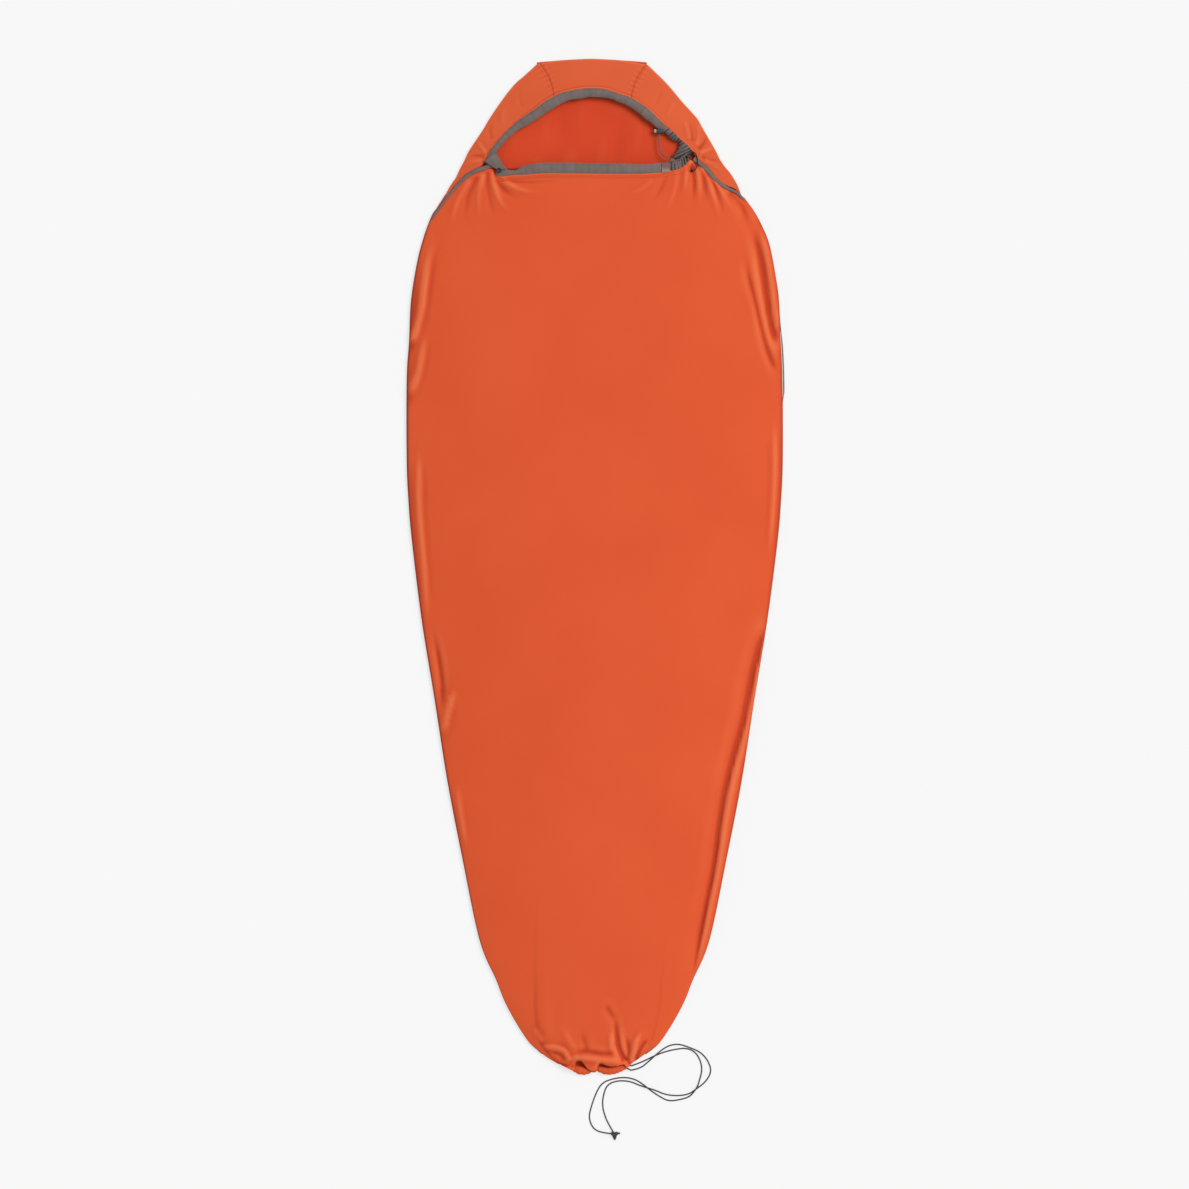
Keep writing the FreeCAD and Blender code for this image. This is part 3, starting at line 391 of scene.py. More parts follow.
def folds(x, y, rows, ends=None):
    """Height of a list's soft folds; without ends, each row has its own after its height."""
    total = 0
    for row in rows:
        fade, route = (ends, row[2:]) if ends else (row[2:4], row[4:])
        line = mm(zip(route[::2], route[1::2]))
        total = total + fold(x, y, line, row[0] / 1000, row[1] / 1000, "ridge", fade)
    return total


def undulation(x, y, size, depth, seed):
    """Slow unevenness of cloth that isn't pulled tight."""
    rng = np.random.default_rng(seed)
    total = np.zeros(np.shape(x))
    for _ in range(7):
        turn = rng.random() * math.pi
        pace = (0.6 + 0.9 * rng.random()) * 2 * math.pi / size
        total += np.sin((x * math.cos(turn) + y * math.sin(turn)) * pace + rng.random() * 6.3)
    return depth * total / 3.2


def dome(x, y):
    """The plain form's height over a point of the plan."""
    left, right = left_edge(y), right_edge(y)
    share = np.clip(np.abs(2 * x - left - right) / np.maximum(right - left, 0.001), 0, 1)
    return EDGE_Z + (loft(y) - EDGE_Z) * (1 - share ** 2.1) ** 0.85


def cloth_mesh(name, grid, material, thickness=0.0009, closed=False):
    """A sheet of cloth from a grid of points, given its thickness inwards."""
    rows, cols = grid.shape[:2]
    faces = []
    for i in range(rows - 1):
        for j in range(cols - (0 if closed else 1)):
            k = (j + 1) % cols
            faces.append((i * cols + j, i * cols + k, (i + 1) * cols + k, (i + 1) * cols + j))
    mesh = bpy.data.meshes.new(name)
    mesh.from_pydata([tuple(p) for p in grid.reshape(-1, 3)], [], faces)
    uv = mesh.uv_layers.new(name="UVMap")
    lengths = np.linalg.norm(np.diff(grid, axis=1), axis=2)
    across = np.concatenate([np.zeros((rows, 1)), np.cumsum(lengths, axis=1)], axis=1)
    lengths = np.linalg.norm(np.diff(grid, axis=0), axis=2)
    down = np.concatenate([np.zeros((1, cols)), np.cumsum(lengths, axis=0)], axis=0)
    flat = np.stack([across.reshape(-1), down.reshape(-1)], axis=1)
    index = np.empty(len(mesh.loops), dtype=np.int32)
    mesh.loops.foreach_get("vertex_index", index)
    uv.data.foreach_set("uv", flat[index].reshape(-1).astype(np.float32))
    # how far each spot stands over the cloth round it, for the painted highlight on crests and
    # painted shade in hollows
    level = grid[..., 2]
    for _ in range(10):
        wide = np.pad(level, 1, mode="edge")
        level = (wide[:-2, 1:-1] + wide[2:, 1:-1] + 2 * level) / 4 if closed else (
            wide[:-2, 1:-1] + wide[2:, 1:-1] + wide[1:-1, :-2] + wide[1:-1, 2:] + 2 * level) / 6
    crest = np.clip((grid[..., 2] - level) / 0.0011, -1, 1)
    mesh.attributes.new("crest", "FLOAT", "POINT").data.foreach_set(
        "value", crest.reshape(-1).astype(np.float32))
    mesh.materials.append(material)
    mesh.shade_smooth()
    made = bpy.data.objects.new(name, mesh)
    scene.collection.objects.link(made)
    if thickness:
        solid = made.modifiers.new("cloth", "SOLIDIFY")
        solid.thickness = thickness
        solid.offset = -1
    return made


def brushed_knit(name, tone, shade, light):
    """Stretch polyester knit, brushed: matt, soft at grazing angles, with fine upright wales."""
    made, tree, shader = new_material(name)
    where = add(tree, "ShaderNodeTexCoord")
    patches = add(tree, "ShaderNodeTexNoise", {"Vector": where.outputs["Object"], "Scale": 6.0,
                                               "Detail": 3.0, "Roughness": 0.45})
    fibres = add(tree, "ShaderNodeTexNoise", {"Vector": where.outputs["Object"], "Scale": 700.0,
                                              "Detail": 2.0})
    # wales 1.6 mm apart, about twice the real spacing, so that they show in a close view
    wales = add(tree, "ShaderNodeTexWave", {"Vector": where.outputs["Object"],
                                            "Scale": WAVE_PERIOD / 0.0016, "Distortion": 0.6,
                                            "Detail": 1.0}, bands_direction="X")
    ramp = add(tree, "ShaderNodeValToRGB", {"Fac": patches.outputs["Fac"]})
    ramp.color_ramp.elements[0].position = 0.3
    ramp.color_ramp.elements[0].color = linear(shade)
    ramp.color_ramp.elements[1].position = 0.7
    ramp.color_ramp.elements[1].color = linear(light)
    middle = ramp.color_ramp.elements.new(0.5)
    middle.color = linear(tone)
    fleck = add(tree, "ShaderNodeMix", {"Factor": 0.06}, data_type="RGBA", blend_type="OVERLAY")
    tree.links.new(ramp.outputs["Color"], fleck.inputs[6])
    tree.links.new(fibres.outputs["Color"], fleck.inputs[7])
    height = add(tree, "ShaderNodeMath", {0: wales.outputs["Fac"], 1: fibres.outputs["Fac"]},
                 operation="ADD")
    bump = add(tree, "ShaderNodeBump", {"Height": height.outputs[0], "Strength": 0.25,
                                        "Distance": 0.0003})
    # painted highlight: the base colour is lightened on a fold's crest; painted shade: it is
    # darkened and reddened in its valley
    crest = add(tree, "ShaderNodeAttribute", attribute_name="crest")
    high = add(tree, "ShaderNodeMapRange", {"Value": crest.outputs["Fac"], "From Min": 0.08,
                                            "From Max": 1.0, "To Max": 0.45})
    deep = add(tree, "ShaderNodeMapRange", {"Value": crest.outputs["Fac"], "From Min": -0.08,
                                            "From Max": -1.0, "To Max": 0.65})
    crest_painted_highlight = add(tree, "ShaderNodeMix", {"Factor": high.outputs["Result"]}, data_type="RGBA")
    valley_painted_shade = add(tree, "ShaderNodeMix", {"Factor": deep.outputs["Result"]}, data_type="RGBA")
    tree.links.new(fleck.outputs[2], crest_painted_highlight.inputs[6])
    # painted highlight colour for the crests
    crest_painted_highlight.inputs[7].default_value = linear("f28455")
    tree.links.new(crest_painted_highlight.outputs[2], valley_painted_shade.inputs[6])
    # painted shade colour for the valleys
    valley_painted_shade.inputs[7].default_value = linear("a82a14")
    tree.links.new(valley_painted_shade.outputs[2], shader.inputs["Base Color"])
    tree.links.new(bump.outputs["Normal"], shader.inputs["Normal"])
    shader.inputs["Roughness"].default_value = 0.9
    shader.inputs["Specular IOR Level"].default_value = 0.25
    shader.inputs["Sheen Weight"].default_value = 0.12
    shader.inputs["Sheen Roughness"].default_value = 0.5
    shader.inputs["Sheen Tint"].default_value = linear("ff9a6a")
    return made


shell_knit = brushed_knit("brushed_stretch_knit_orange", "dc562c", "da542b", "de582e")
hood_knit = brushed_knit("brushed_stretch_knit_hood", "d85b33", "d65831", "da5e36")
# painted shade: the back sheet's knit is darker and redder than the shell's, for the shaded inside
# of the bag
inner_knit_painted_shade = brushed_knit("knit_darkened_by_painted_shade", "d64523", "d34221", "d94926")

# ---------------------------------------------------------------------------
# Back sheet
# One flat piece of the knit that the bag lies on; its inner side shows through
# the face opening. It is cut a little inside the outline and sewn to the strips.
# ---------------------------------------------------------------------------

def slice_rows(top, foot, count, dense):
    """Row positions from top to foot, closer together near both ends."""
    t = np.linspace(0, 1, count)
    eased = t - dense * np.sin(2 * math.pi * t) / (2 * math.pi)
    return top + (foot - top) * eased


back_y = slice_rows(1.045, -1.04, 240, 0.45)
across = np.linspace(-1, 1, 90)
Y, U = np.meshgrid(back_y, across, indexing="ij")
crown_bow = 0.006 * (1 - U ** 2) * smooth((Y - 0.98) / 0.07)
X = across_at(U * 0.985, Y)
Z = 0.0018 + 0.0006 * (1 + undulation(X, Y, 0.16, 1.0, 3) / 2)
opening = np.exp(-((X / 0.19) ** 4 + ((Y - 0.89) / 0.085) ** 4))
Z = Z + opening * (0.001 * (1 + undulation(X, Y * 0.3, 0.07, 1.0, 8)))
grid = np.stack([X, Y + crown_bow, Z], axis=2)
back = cloth_mesh("back_sheet", grid, inner_knit_painted_shade)
settle(back, "back_panel")

# ---------------------------------------------------------------------------
# Front sheet
# One piece of the knit from the throat to the foot, laid loosely over the back
# sheet: gathered at both throat corners and where the foot is drawn up, with one
# long crease down the right side.
# ---------------------------------------------------------------------------

# the throat band's lower edge
NECK_LOW = mm([
    (-205, 817), (-202, 810), (-196, 806.5), (-188, 806), (-179, 807.5), (-169, 809),
    (-158, 809.2), (-145, 809.5), (-123, 811.5), (-100, 812.8), (-53, 812.5), (0, 811.8),
    (41, 811.2), (88, 811.5), (112, 812.5), (140, 814.5), (156, 818.5), (166, 819.5), (176, 822.5),
    (184, 827.5), (191, 834.5), (197, 840.5),
])
# the sheet's top edge: over the left shoulder, just above the band's lower edge, then
# over the right shoulder
FRONT_TOP = mm([
    (-336.5, 720.5), (-326.9, 736), (-317.9, 749), (-307.9, 762.5), (-300.4, 770), (-293.4, 778.5),
    (-287.4, 787.5), (-280.9, 794), (-274.4, 800.5), (-267.4, 806.5), (-259.4, 813),
    (-248.9, 818.5), (-238.9, 822.5), (-228.4, 825.5), (-220, 827.5), (-212, 824),
]) + [(x, y + 0.0012) for x, y in NECK_LOW if x > -0.2045] + mm([
    (202.5, 840), (209.5, 836.2), (217.5, 833), (224.5, 828.4), (232, 823.9), (239.5, 816.4),
    (244.5, 809.4), (250, 802.9), (259, 794.9), (267, 788.9), (276.5, 783.9), (287, 779.9),
    (295.5, 774.9), (303.5, 767.9), (309.5, 764.5),
])
FOOT_LIP = mm([
    (-136, -986), (-120, -999.5), (-102, -1014), (-85, -1024.5), (-70, -1032.5), (-58, -1038.5),
    (-50, -1042.5), (-44, -1044.5), (-40.5, -1040), (-39.5, -1032), (-37, -1026), (-30, -1024.5),
    (-24, -1027), (-16, -1035.5), (-9, -1044.5), (-1, -1047.5), (4.5, -1044.5), (7.5, -1035),
    (12, -1030), (19, -1031.5), (30, -1035.5), (45, -1035.5), (57, -1032), (62.5, -1032.5),
    (66, -1038.5), (70, -1036.5), (76, -1031), (85, -1023.8), (100, -1013), (118, -1000.5),
    (136, -986),
])
front_top_line = through(FRONT_TOP)


def front_top(x):
    return np.interp(x, front_top_line[:, 0], front_top_line[:, 1])


# the long crease down the right side, where the sheet steps down
CREASE = mm([
    (356, -120), (349, -165), (332, -228), (313, -323), (284, -429), (266, -519),
    (252, -619), (237, -693), (221, -773), (203, -860),
])
# the soft folds, in millimetres: width and height, the shares of its length over which
# it rises and dies away (where they differ from fold to fold), then its route
SIDE_FOLDS = [
    (6.5, -3.2, 0.3, 0.15, 310, 650, 320, 600, 333, 550, 345, 500, 358, 450, 380, 395),
    (8, -6.2, 0.35, 0.15, 322, 720, 341, 650, 350, 600, 357, 550, 366, 500, 378, 455),
    (6.5, 3.6, 0.3, 0.2, 340, 715, 357, 650, 367, 590, 374, 530, 380, 480),
    (8.5, 5.2, 0.45, 0.1, -325, 700, -343, 640, -352, 590, -358, 540, -369, 495, -383, 460),
    (8.5, 3.6, 0.5, 0.2, -345, 500, -356, 450, -366, 400, -384, 350),
    (7, 3, 0.3, 0.3, -362, 260, -364, 180, -362, 100, -352, -20, -344, -140),
    (6, -3, 0.4, 0.3, -338, -110, -322, -190, -315, -250, -316, -300),
    (7, 2.6, 0.4, 0.2, -286, -250, -300, -290, -314, -350),
    (7, 2.2, 0.4, 0.4, -288, -430, -276, -520, -262, -600),
    (6, 2, 0.3, 0.3, 372, 320, 374, 220, 370, 120, 360, 0),
]
THROAT_FOLDS = [
    # below the right corner: sharp gathers that spread from the cord lock
    (4.25, 2.2, 191, 832, 190, 815, 188, 790, 184, 760),
    (4.93, -3.08, 198, 838, 205, 812, 206, 780, 202, 735),
    (4.42, 2.475, 203, 838, 214, 812, 218, 780, 219, 740),
    (4.25, -2.2, 208, 838, 226, 810, 230, 785, 234, 745),
    (5.525, 2.64, 214, 834, 236, 802, 245, 775, 254, 745, 262, 690),
    (4.675, -2.09, 226, 824, 250, 786, 258, 762, 270, 720),
    (4.675, 1.87, 240, 812, 260, 780, 272, 762, 286, 738),
    (8.5, -2.75, 276, 780, 304, 748, 316, 720, 327, 685),
    (6.375, -1.43, 150, 815, 142, 790, 128, 765, 110, 745),
    (5.95, 1.43, 172, 822, 168, 790, 158, 755, 146, 722),
    (5.95, 0.99, 120, 803, 104, 786, 82, 775, 60, 772),
    # below the left corner: the sheet drapes off the folded tab
    (5.1, -1.87, -205, 808, -180, 800, -140, 797, -90, 799, -40, 803),
    (6.8, -1.87, -208, 822, -196, 792, -172, 770, -140, 756),
    (6.375, 1.98, -214, 822, -206, 785, -190, 750, -165, 726),
    (5.95, 1.65, -196, 812, -165, 786, -130, 777, -80, 780),
    (5.95, -1.54, -220, 822, -221, 785, -213, 745, -200, 710),
    (6.375, 1.65, -228, 818, -238, 780, -240, 745, -238, 700),
    (5.95, -1.43, -240, 812, -258, 775, -266, 740, -272, 690),
    (5.95, 1.43, -256, 806, -280, 765, -292, 730, -304, 680),
]
FOOT_FOLDS = [
    # the ridge that runs into the left lobe, and a softer one beside it
    (5, 3.36, 0.25, 0.1, -112, -993, -100, -995, -85, -995.5, -70, -999, -60, -1006, -55, -1015,
     -49, -1026),
    (4, -1.92, 0.4, 0.1, -92, -1006, -78, -1008, -68, -1014, -63, -1024),
    (7, 2.08, 0.4, 0.3, -128, -950, -118, -970, -104, -990),
    # the deep valley on the right, and the bright ridge beyond it
    (6, -7.04, 0.5, 0.05, 40, -925, 44, -945, 47, -975, 50, -995, 56, -1010, 61, -1022, 62, -1033),
    (6, 4.96, 0.4, 0.05, 104, -955, 92, -973, 86, -985, 82, -1000, 78, -1015, 73, -1030),
    (4.8, -2.72, 0.4, 0.05, 66, -965, 69, -990, 71, -1010, 69, -1030),
    (4, -3.68, 0.3, 0.05, 112, -975, 100, -992, 91, -1008, 84, -1020),
    (7, -1.92, 0.4, 0.4, 20, -900, 32, -922, 45, -942),
    (6, 2.08, 0.4, 0.3, 36, -960, 34, -985, 38, -1008),
    # the lip rolls over along the gap: lit on its crest, shaded above it
    (6.2, 2.72, 0.15, 0.15, -50, -1016, -30, -1017.5, 0, -1020, 30, -1022.5, 52, -1021.5),
    (6, -2.24, 0.2, 0.2, -40, -1003, -10, -1004.5, 20, -1008, 44, -1007),
    (8, -1.76, 0.5, 0.3, -30, -950, -20, -985, -12, -1010),
    (8.5, 1.6, 0.5, 0.3, -70, -945, -52, -980, -36, -1008),
]


NECK_RISE = [(-0.205, 0.0196), (-0.18, 0.0228), (-0.13, 0.0275), (-0.065, 0.031), (0.0, 0.0322),
             (0.065, 0.0312), (0.12, 0.0282), (0.148, 0.0262), (0.168, 0.0246), (0.184, 0.0232),
             (0.2, 0.0216)]


def neck_height(x, y):
    return np.interp(x, [p[0] for p in NECK_RISE], [p[1] for p in NECK_RISE])


# how far in from its edge the foot lip rolls over
LIP_RADIUS = 0.0085


def front_height(x, y, top, foot):
    """The front sheet's height: its form, its folds, its hem below the throat and its foot lip."""
    z = dome(x, y)
    z += undulation(x, y * 0.6, 0.34, 0.00035, 5) + undulation(x, y, 0.13, 0.00012, 6)
    z += fold(x, y, CREASE, 0.003, 0.0062, "step", (0.15, 0.15))
    z += folds(x, y, SIDE_FOLDS) + folds(x, y, THROAT_FOLDS, (0.08, 0.6)) + folds(x, y, FOOT_FOLDS)
    middle = smooth((0.206 - np.abs(x)) / 0.008)
    hem = top - y
    z += middle * (0.0016 * bell((hem - 0.0014) / 0.0013)
                   + 0.0012 * (1 - smooth((hem - 0.0068) / 0.0016))
                   - 0.0011 * bell((hem - 0.0092) / 0.0012))
    # the cloth sinks a little under the throat cord's loop
    z -= 0.0034 * np.exp(-((x - 0.203) ** 2 + (y - 0.827) ** 2) / 0.0085 ** 2)
    # past the throat the cloth's edge runs under the side strips
    z -= (1 - middle) * 0.0022 * bell(hem / 0.0065)
    under_band = np.clip(neck_height(x, y) - 0.0004 - z, 0, 1)
    z += middle * under_band * bell(hem / 0.012) * (hem < 0.04)
    lip = np.clip(y - foot, 0, 1)
    inner = smooth((0.082 - np.abs(x - 0.004)) / 0.016)
    quarter = np.sqrt(np.clip(1 - (1 - np.clip(lip / LIP_RADIUS, 0, 1)) ** 2, 0, 1))
    rolled = 0.0165 + (z - 0.0165) * quarter
    z = z + (np.maximum(rolled, 0.0155) - z) * inner * (lip < LIP_RADIUS)
    return np.maximum(z, 0.0045)


columns = np.linspace(-1, 1, 168)
top = np.full(columns.shape, 0.8)
for _ in range(12):
    top = 0.5 * top + 0.5 * front_top(across_at(columns, top))
lip_line = along(through(FOOT_LIP), len(columns))
near = [0.0, 0.0007, 0.0014, 0.0022, 0.0035, 0.005, 0.0065, 0.0074, 0.0082, 0.0092, 0.0102, 0.0115,
        0.014, 0.018, 0.021]
far = np.linspace(0, 1, 244)
far = far - 0.62 * np.sin(2 * math.pi * far) / (2 * math.pi)
drop = top - lip_line[:, 1]
steps = np.concatenate([np.repeat(np.array(near)[:, None], len(columns), axis=1),
                        0.024 + far[:, None] * (drop - 0.024)[None, :]])
Y = top[None, :] - steps
share = (left_edge(lip_line[:, 1]) + right_edge(lip_line[:, 1])) / 2
half = (right_edge(lip_line[:, 1]) - left_edge(lip_line[:, 1])) / 2
end = np.clip((lip_line[:, 0] - share) / half, -1, 1)
ease = (steps / drop[None, :]) ** 9
X = across_at(columns[None, :] + (end - columns)[None, :] * ease, Y)
Z = front_height(X, Y, top[None, :], lip_line[None, :, 1])
grid = np.stack([X, Y, Z], axis=2)
front = cloth_mesh("front_sheet", grid, shell_knit)
settle(front, "front_panel")

# ---------------------------------------------------------------------------
# Hood
# Three panels of the knit between the rim and the crown, joined by two short
# seams that run out to the crown's corners, and turned down to the back sheet.
# ---------------------------------------------------------------------------

RIM_OUTER = mm([
    (-223, 846), (-218, 859), (-210, 871), (-201, 882), (-191, 893.5), (-181, 903.5),
    (-170, 913.2), (-160, 922), (-148, 930.5), (-136, 939), (-124, 947), (-113, 955.5),
    (-102, 964), (-89, 971.3), (-76, 978.3), (-62, 982.9), (-47, 986.2), (-32, 988.8),
    (-18, 990.2), (-3, 990.4), (12, 989.8), (27, 987.5), (41, 982.7), (55, 977.7), (69, 973.4),
    (82, 967.4), (95, 959.2), (107, 951), (118, 941.8), (128, 931.5), (138.5, 921.5),
    (148.5, 912.5), (160, 902.5), (170, 893.5), (181, 884), (186, 880), (191, 876), (196, 870.5),
    (200, 866), (203.5, 862), (203, 858), (200.5, 854),
])
RIM_INNER = mm([
    (-203, 846), (-203, 859), (-198, 864.5), (-190, 874.2), (-182, 884.5), (-171, 893),
    (-161, 902.5), (-149, 909), (-137, 915.6), (-125, 922.8), (-114, 930), (-102, 938.3),
    (-90, 945.6), (-79, 953), (-67, 959.2), (-56, 964.7), (-43, 967.4), (-30, 969.1), (-16, 971.6),
    (-3, 972.6), (10, 971.8), (24, 970.6), (37, 967.7), (49, 962.7), (62, 957.8), (74, 951.4),
    (85, 943.9), (96, 935.5), (106, 927.2), (117, 919.2), (128, 910), (138.5, 903.5), (149.5, 896),
    (161, 883.5), (174, 879.5), (175.5, 873), (172.5, 864.5), (168, 857), (161.5, 850.5),
    (169, 843.5), (182, 848.5), (190.5, 855),
])
LEFT_CROWN = mm([
    (-339, 723), (-329, 740), (-320, 753), (-310, 769), (-299, 789), (-289, 803), (-279, 824),
    (-270, 841), (-261, 860), (-246, 883), (-230, 907), (-222, 921), (-208, 943), (-194, 963),
    (-180, 982), (-163, 1002), (-149, 1014), (-130, 1031), (-119, 1041.5),
])
RIGHT_CROWN = mm([
    (-105, 1044), (-86, 1047.5), (-63, 1049.5), (-35, 1051), (-8, 1052), (20, 1051), (48, 1049.5),
    (70, 1047), (87, 1044), (101, 1041), (110, 1039.5), (128, 1022.5), (145, 1006), (162, 987),
    (181, 964), (201, 942), (214, 927), (224, 909), (238, 885), (252, 860), (260, 844), (270, 829),
    (280, 817), (290, 802), (298, 787), (304, 770),
])
# the strips' own edges over the shoulders, upper then lower, from the corner outwards
LEFT_STRIP = [((a, b), (c, d)) for a, b, c, d in mm([
    (-215.4, 836, -205.4, 826), (-223.4, 832, -216.4, 826), (-230.4, 829, -226.4, 822),
    (-239.4, 827, -238.4, 818), (-248.4, 823, -248.4, 814.5), (-259.4, 817, -258.4, 809),
    (-268.4, 811, -266.4, 802.5), (-275.4, 804, -273.4, 797), (-282.4, 797, -279.4, 790.5),
    (-288.9, 789.5, -285.9, 784), (-296.4, 779, -290.9, 776.5), (-302.9, 771, -298.4, 768.5),
    (-310.4, 762.5, -305.9, 760), (-319.4, 749.5, -315.4, 747), (-328.9, 736.5, -324.9, 734),
    (-337.9, 720, -334.9, 718.5),
])]
RIGHT_STRIP = [((a, b), (c, d)) for a, b, c, d in mm([
    (209.5, 850.4, 202.5, 841.4), (218.5, 840.4, 215, 832.9), (226.5, 834.4, 222.5, 826.4),
    (234.5, 827.4, 229.5, 819.9), (242.5, 818.4, 236.5, 812.4), (247.5, 811.4, 241.5, 805.9),
    (252.5, 804.9, 247.5, 799.4), (261.5, 796.9, 256.5, 792.4), (269.5, 790.9, 264.5, 786.4),
    (279.5, 784.9, 275, 780.9), (289.5, 780.4, 285.5, 776.9), (297.5, 775.9, 294, 772.4),
    (305, 768.4, 301.5, 765.4), (310, 762.9, 306.5, 759.9),
])]
SEAM_SHARES = (0.335, 0.655)
SEAM_BOWS = (0.006, -0.007)
rim_line = along(through(RIM_OUTER[:-2]), 301)
crown_line = along(np.concatenate([through(LEFT_CROWN), through(RIGHT_CROWN)]), 301)


def nearest_share(line, spot):
    return float(np.argmin(np.hypot(line[:, 0] - spot[0], line[:, 1] - spot[1]))) / (len(line) - 1)


def matched(line, knots, shares):
    """Points along a line whose shares run through the two crown seams."""
    own = np.interp(shares, [0, SEAM_SHARES[0], SEAM_SHARES[1], 1], [0, knots[0], knots[1], 1])
    grid_shares = np.linspace(0, 1, len(line))
    return np.stack([np.interp(own, grid_shares, line[:, k]) for k in (0, 1)], axis=1)


rim_knots = (nearest_share(rim_line, (-0.088, 0.977)), nearest_share(rim_line, (0.076, 0.9725)))
crown_knots = (nearest_share(crown_line, (-0.113, 1.043)),
               nearest_share(crown_line, (0.107, 1.04)))
HOOD_FOLDS = [
    (4.25, 1.5, 212, 870, 216, 900, 212, 925),
    (3.825, -1.6, 214, 862, 228, 880, 232, 898),
    (4.25, 1.7, 216, 856, 236, 864, 248, 868),
    (3.825, -1.5, 220, 850, 242, 843, 262, 838),
    (4.25, 1.3, 226, 843, 250, 828, 276, 818),
    (4.675, 1.2, 196, 884, 190, 910, 180, 940),
    (3.825, -1.1, 203, 878, 200, 905, 194, 930),
    (4.25, 1.4, -224, 856, -236, 872, -244, 886),
    (4.08, -1.3, -226, 848, -246, 852, -266, 848),
    (4.25, 1.2, -232, 842, -256, 838, -278, 826),
    (4.675, -1.1, -214, 884, -216, 904, -212, 922),
    (5.95, 1, -190, 915, -190, 940, -182, 965),
    (5.95, -0.8, -150, 950, -154, 972, -156, 995),
    (5.95, 1, 150, 932, 160, 952, 162, 975),
    (5.525, -0.8, 128, 955, 136, 975, 140, 1000),
]


def hood_height(x, y):
    z = dome(x, np.minimum(y, 1.049))
    return z + folds(x, y, HOOD_FOLDS, (0.1, 0.5)) + undulation(x, y, 0.1, 0.0004, 33)


def strip_middle(strip, count):
    return along(through([((a[0] + b[0]) / 2, (a[1] + b[1]) / 2) for a, b in strip]), count)


def hood_panel(name, node, span, count):
    shares = np.linspace(span[0], span[1], count)
    inner = matched(rim_line, rim_knots, shares)
    outer = matched(crown_line, crown_knots, shares)
    reach = np.hypot(*(outer - inner).T)
    first = np.array([-0.003, -0.0014, -0.0006, 0.0002, 0.001, 0.002, 0.003, 0.004, 0.0056])
    rest = np.linspace(0, 1, 40)
    dist = np.concatenate([np.repeat(first[:, None], count, axis=1),
                           0.0075 + rest[:, None] * (reach[None, :] - 0.0075)])
    S = dist / reach[None, :]
    T = np.repeat(shares[None, :], len(S), axis=0)
    X = inner[None, :, 0] + (outer - inner)[None, :, 0] * S
    Y = inner[None, :, 1] + (outer - inner)[None, :, 1] * S
    inside = np.clip(S, 0, 1)
    bend = 4 * inside * (1 - inside)
    # both crown seams bow towards the middle
    for share, bow in zip(SEAM_SHARES, SEAM_BOWS):
        X += bend * bow * bell((T - share) / 0.1)
    # the panel's ends follow the strips over the shoulders
    for strip, at, from_end in ((LEFT_STRIP, 0, T), (RIGHT_STRIP, -1, 1 - T)):
        line = strip_middle(strip, 200)
        pull = bell(from_end / 0.1)
        for axis, place in ((0, X), (1, Y)):
            ends = (rim_line[at, axis], crown_line[at, axis])
            want = np.interp(inside, np.linspace(0, 1, 200), line[:, axis])
            want = (want + (ends[0] - line[0, axis]) * (1 - inside) ** 9
                    + (ends[1] - line[-1, axis]) * inside)
            place += pull * (want - ends[0] - (ends[1] - ends[0]) * inside)
    Z = hood_height(X, Y)
    # the folded edge stands up beside the rim
    Z += 0.0026 * bell((dist - 0.0012) / 0.0016) - 0.0006 * bell((dist - 0.0046) / 0.001)
    Z -= 0.003 * smooth((-0.0004 - dist) / 0.0024)
    for share in SEAM_SHARES:
        off = np.abs(T - share)
        Z -= 0.0007 * bell(off / 0.0042)
        pucker = np.sin(dist * 2 * math.pi / 0.0105 + 3 * share) * bell((off - 0.008) / 0.012)
        Z += 0.0004 * pucker * smooth(dist / 0.01) * smooth((reach[None, :] - dist) / 0.01)
    # the turned-down edge, tucked under a little
    last = len(S) - 1
    rows = [np.stack([X, Y, Z], axis=2)]
    for down, tuck in ((0.35, 0.0), (0.7, 0.0012), (1.0, 0.003)):
        x = X[last] - np.sign(X[last]) * tuck * np.minimum(np.abs(X[last]) / 0.1, 1)
        z = Z[last] * (1 - down) + 0.0022 * down
        rows.append(np.stack([x, Y[last] - tuck, z], axis=1)[None])
    grid = np.concatenate(rows)
    made = cloth_mesh(name, grid, hood_knit)
    settle(made, node)
    return made, grid


HOOD_PANELS = (
    ("hood_left", "hood_left_panel", (0.0, SEAM_SHARES[0]), 110, (0.16, 0.33)),
    ("hood_centre", "hood_centre_panel", SEAM_SHARES, 90, (0.22, 0.08)),
    ("hood_right", "hood_right_panel", (SEAM_SHARES[1], 1.0), 110, (0.16, 0.33)),
)
hood_pieces = []
for name, node, span, count, cut in HOOD_PANELS:
    panel, grid = hood_panel(name, node, span, count)
    hood_pieces.append(panel)

# ---------------------------------------------------------------------------
# Side strips
# Grey stretch binding, about 9 mm wide, sewn between front and back: over the
# shoulders from the throat corners, then down the low edge to the foot.
# ---------------------------------------------------------------------------

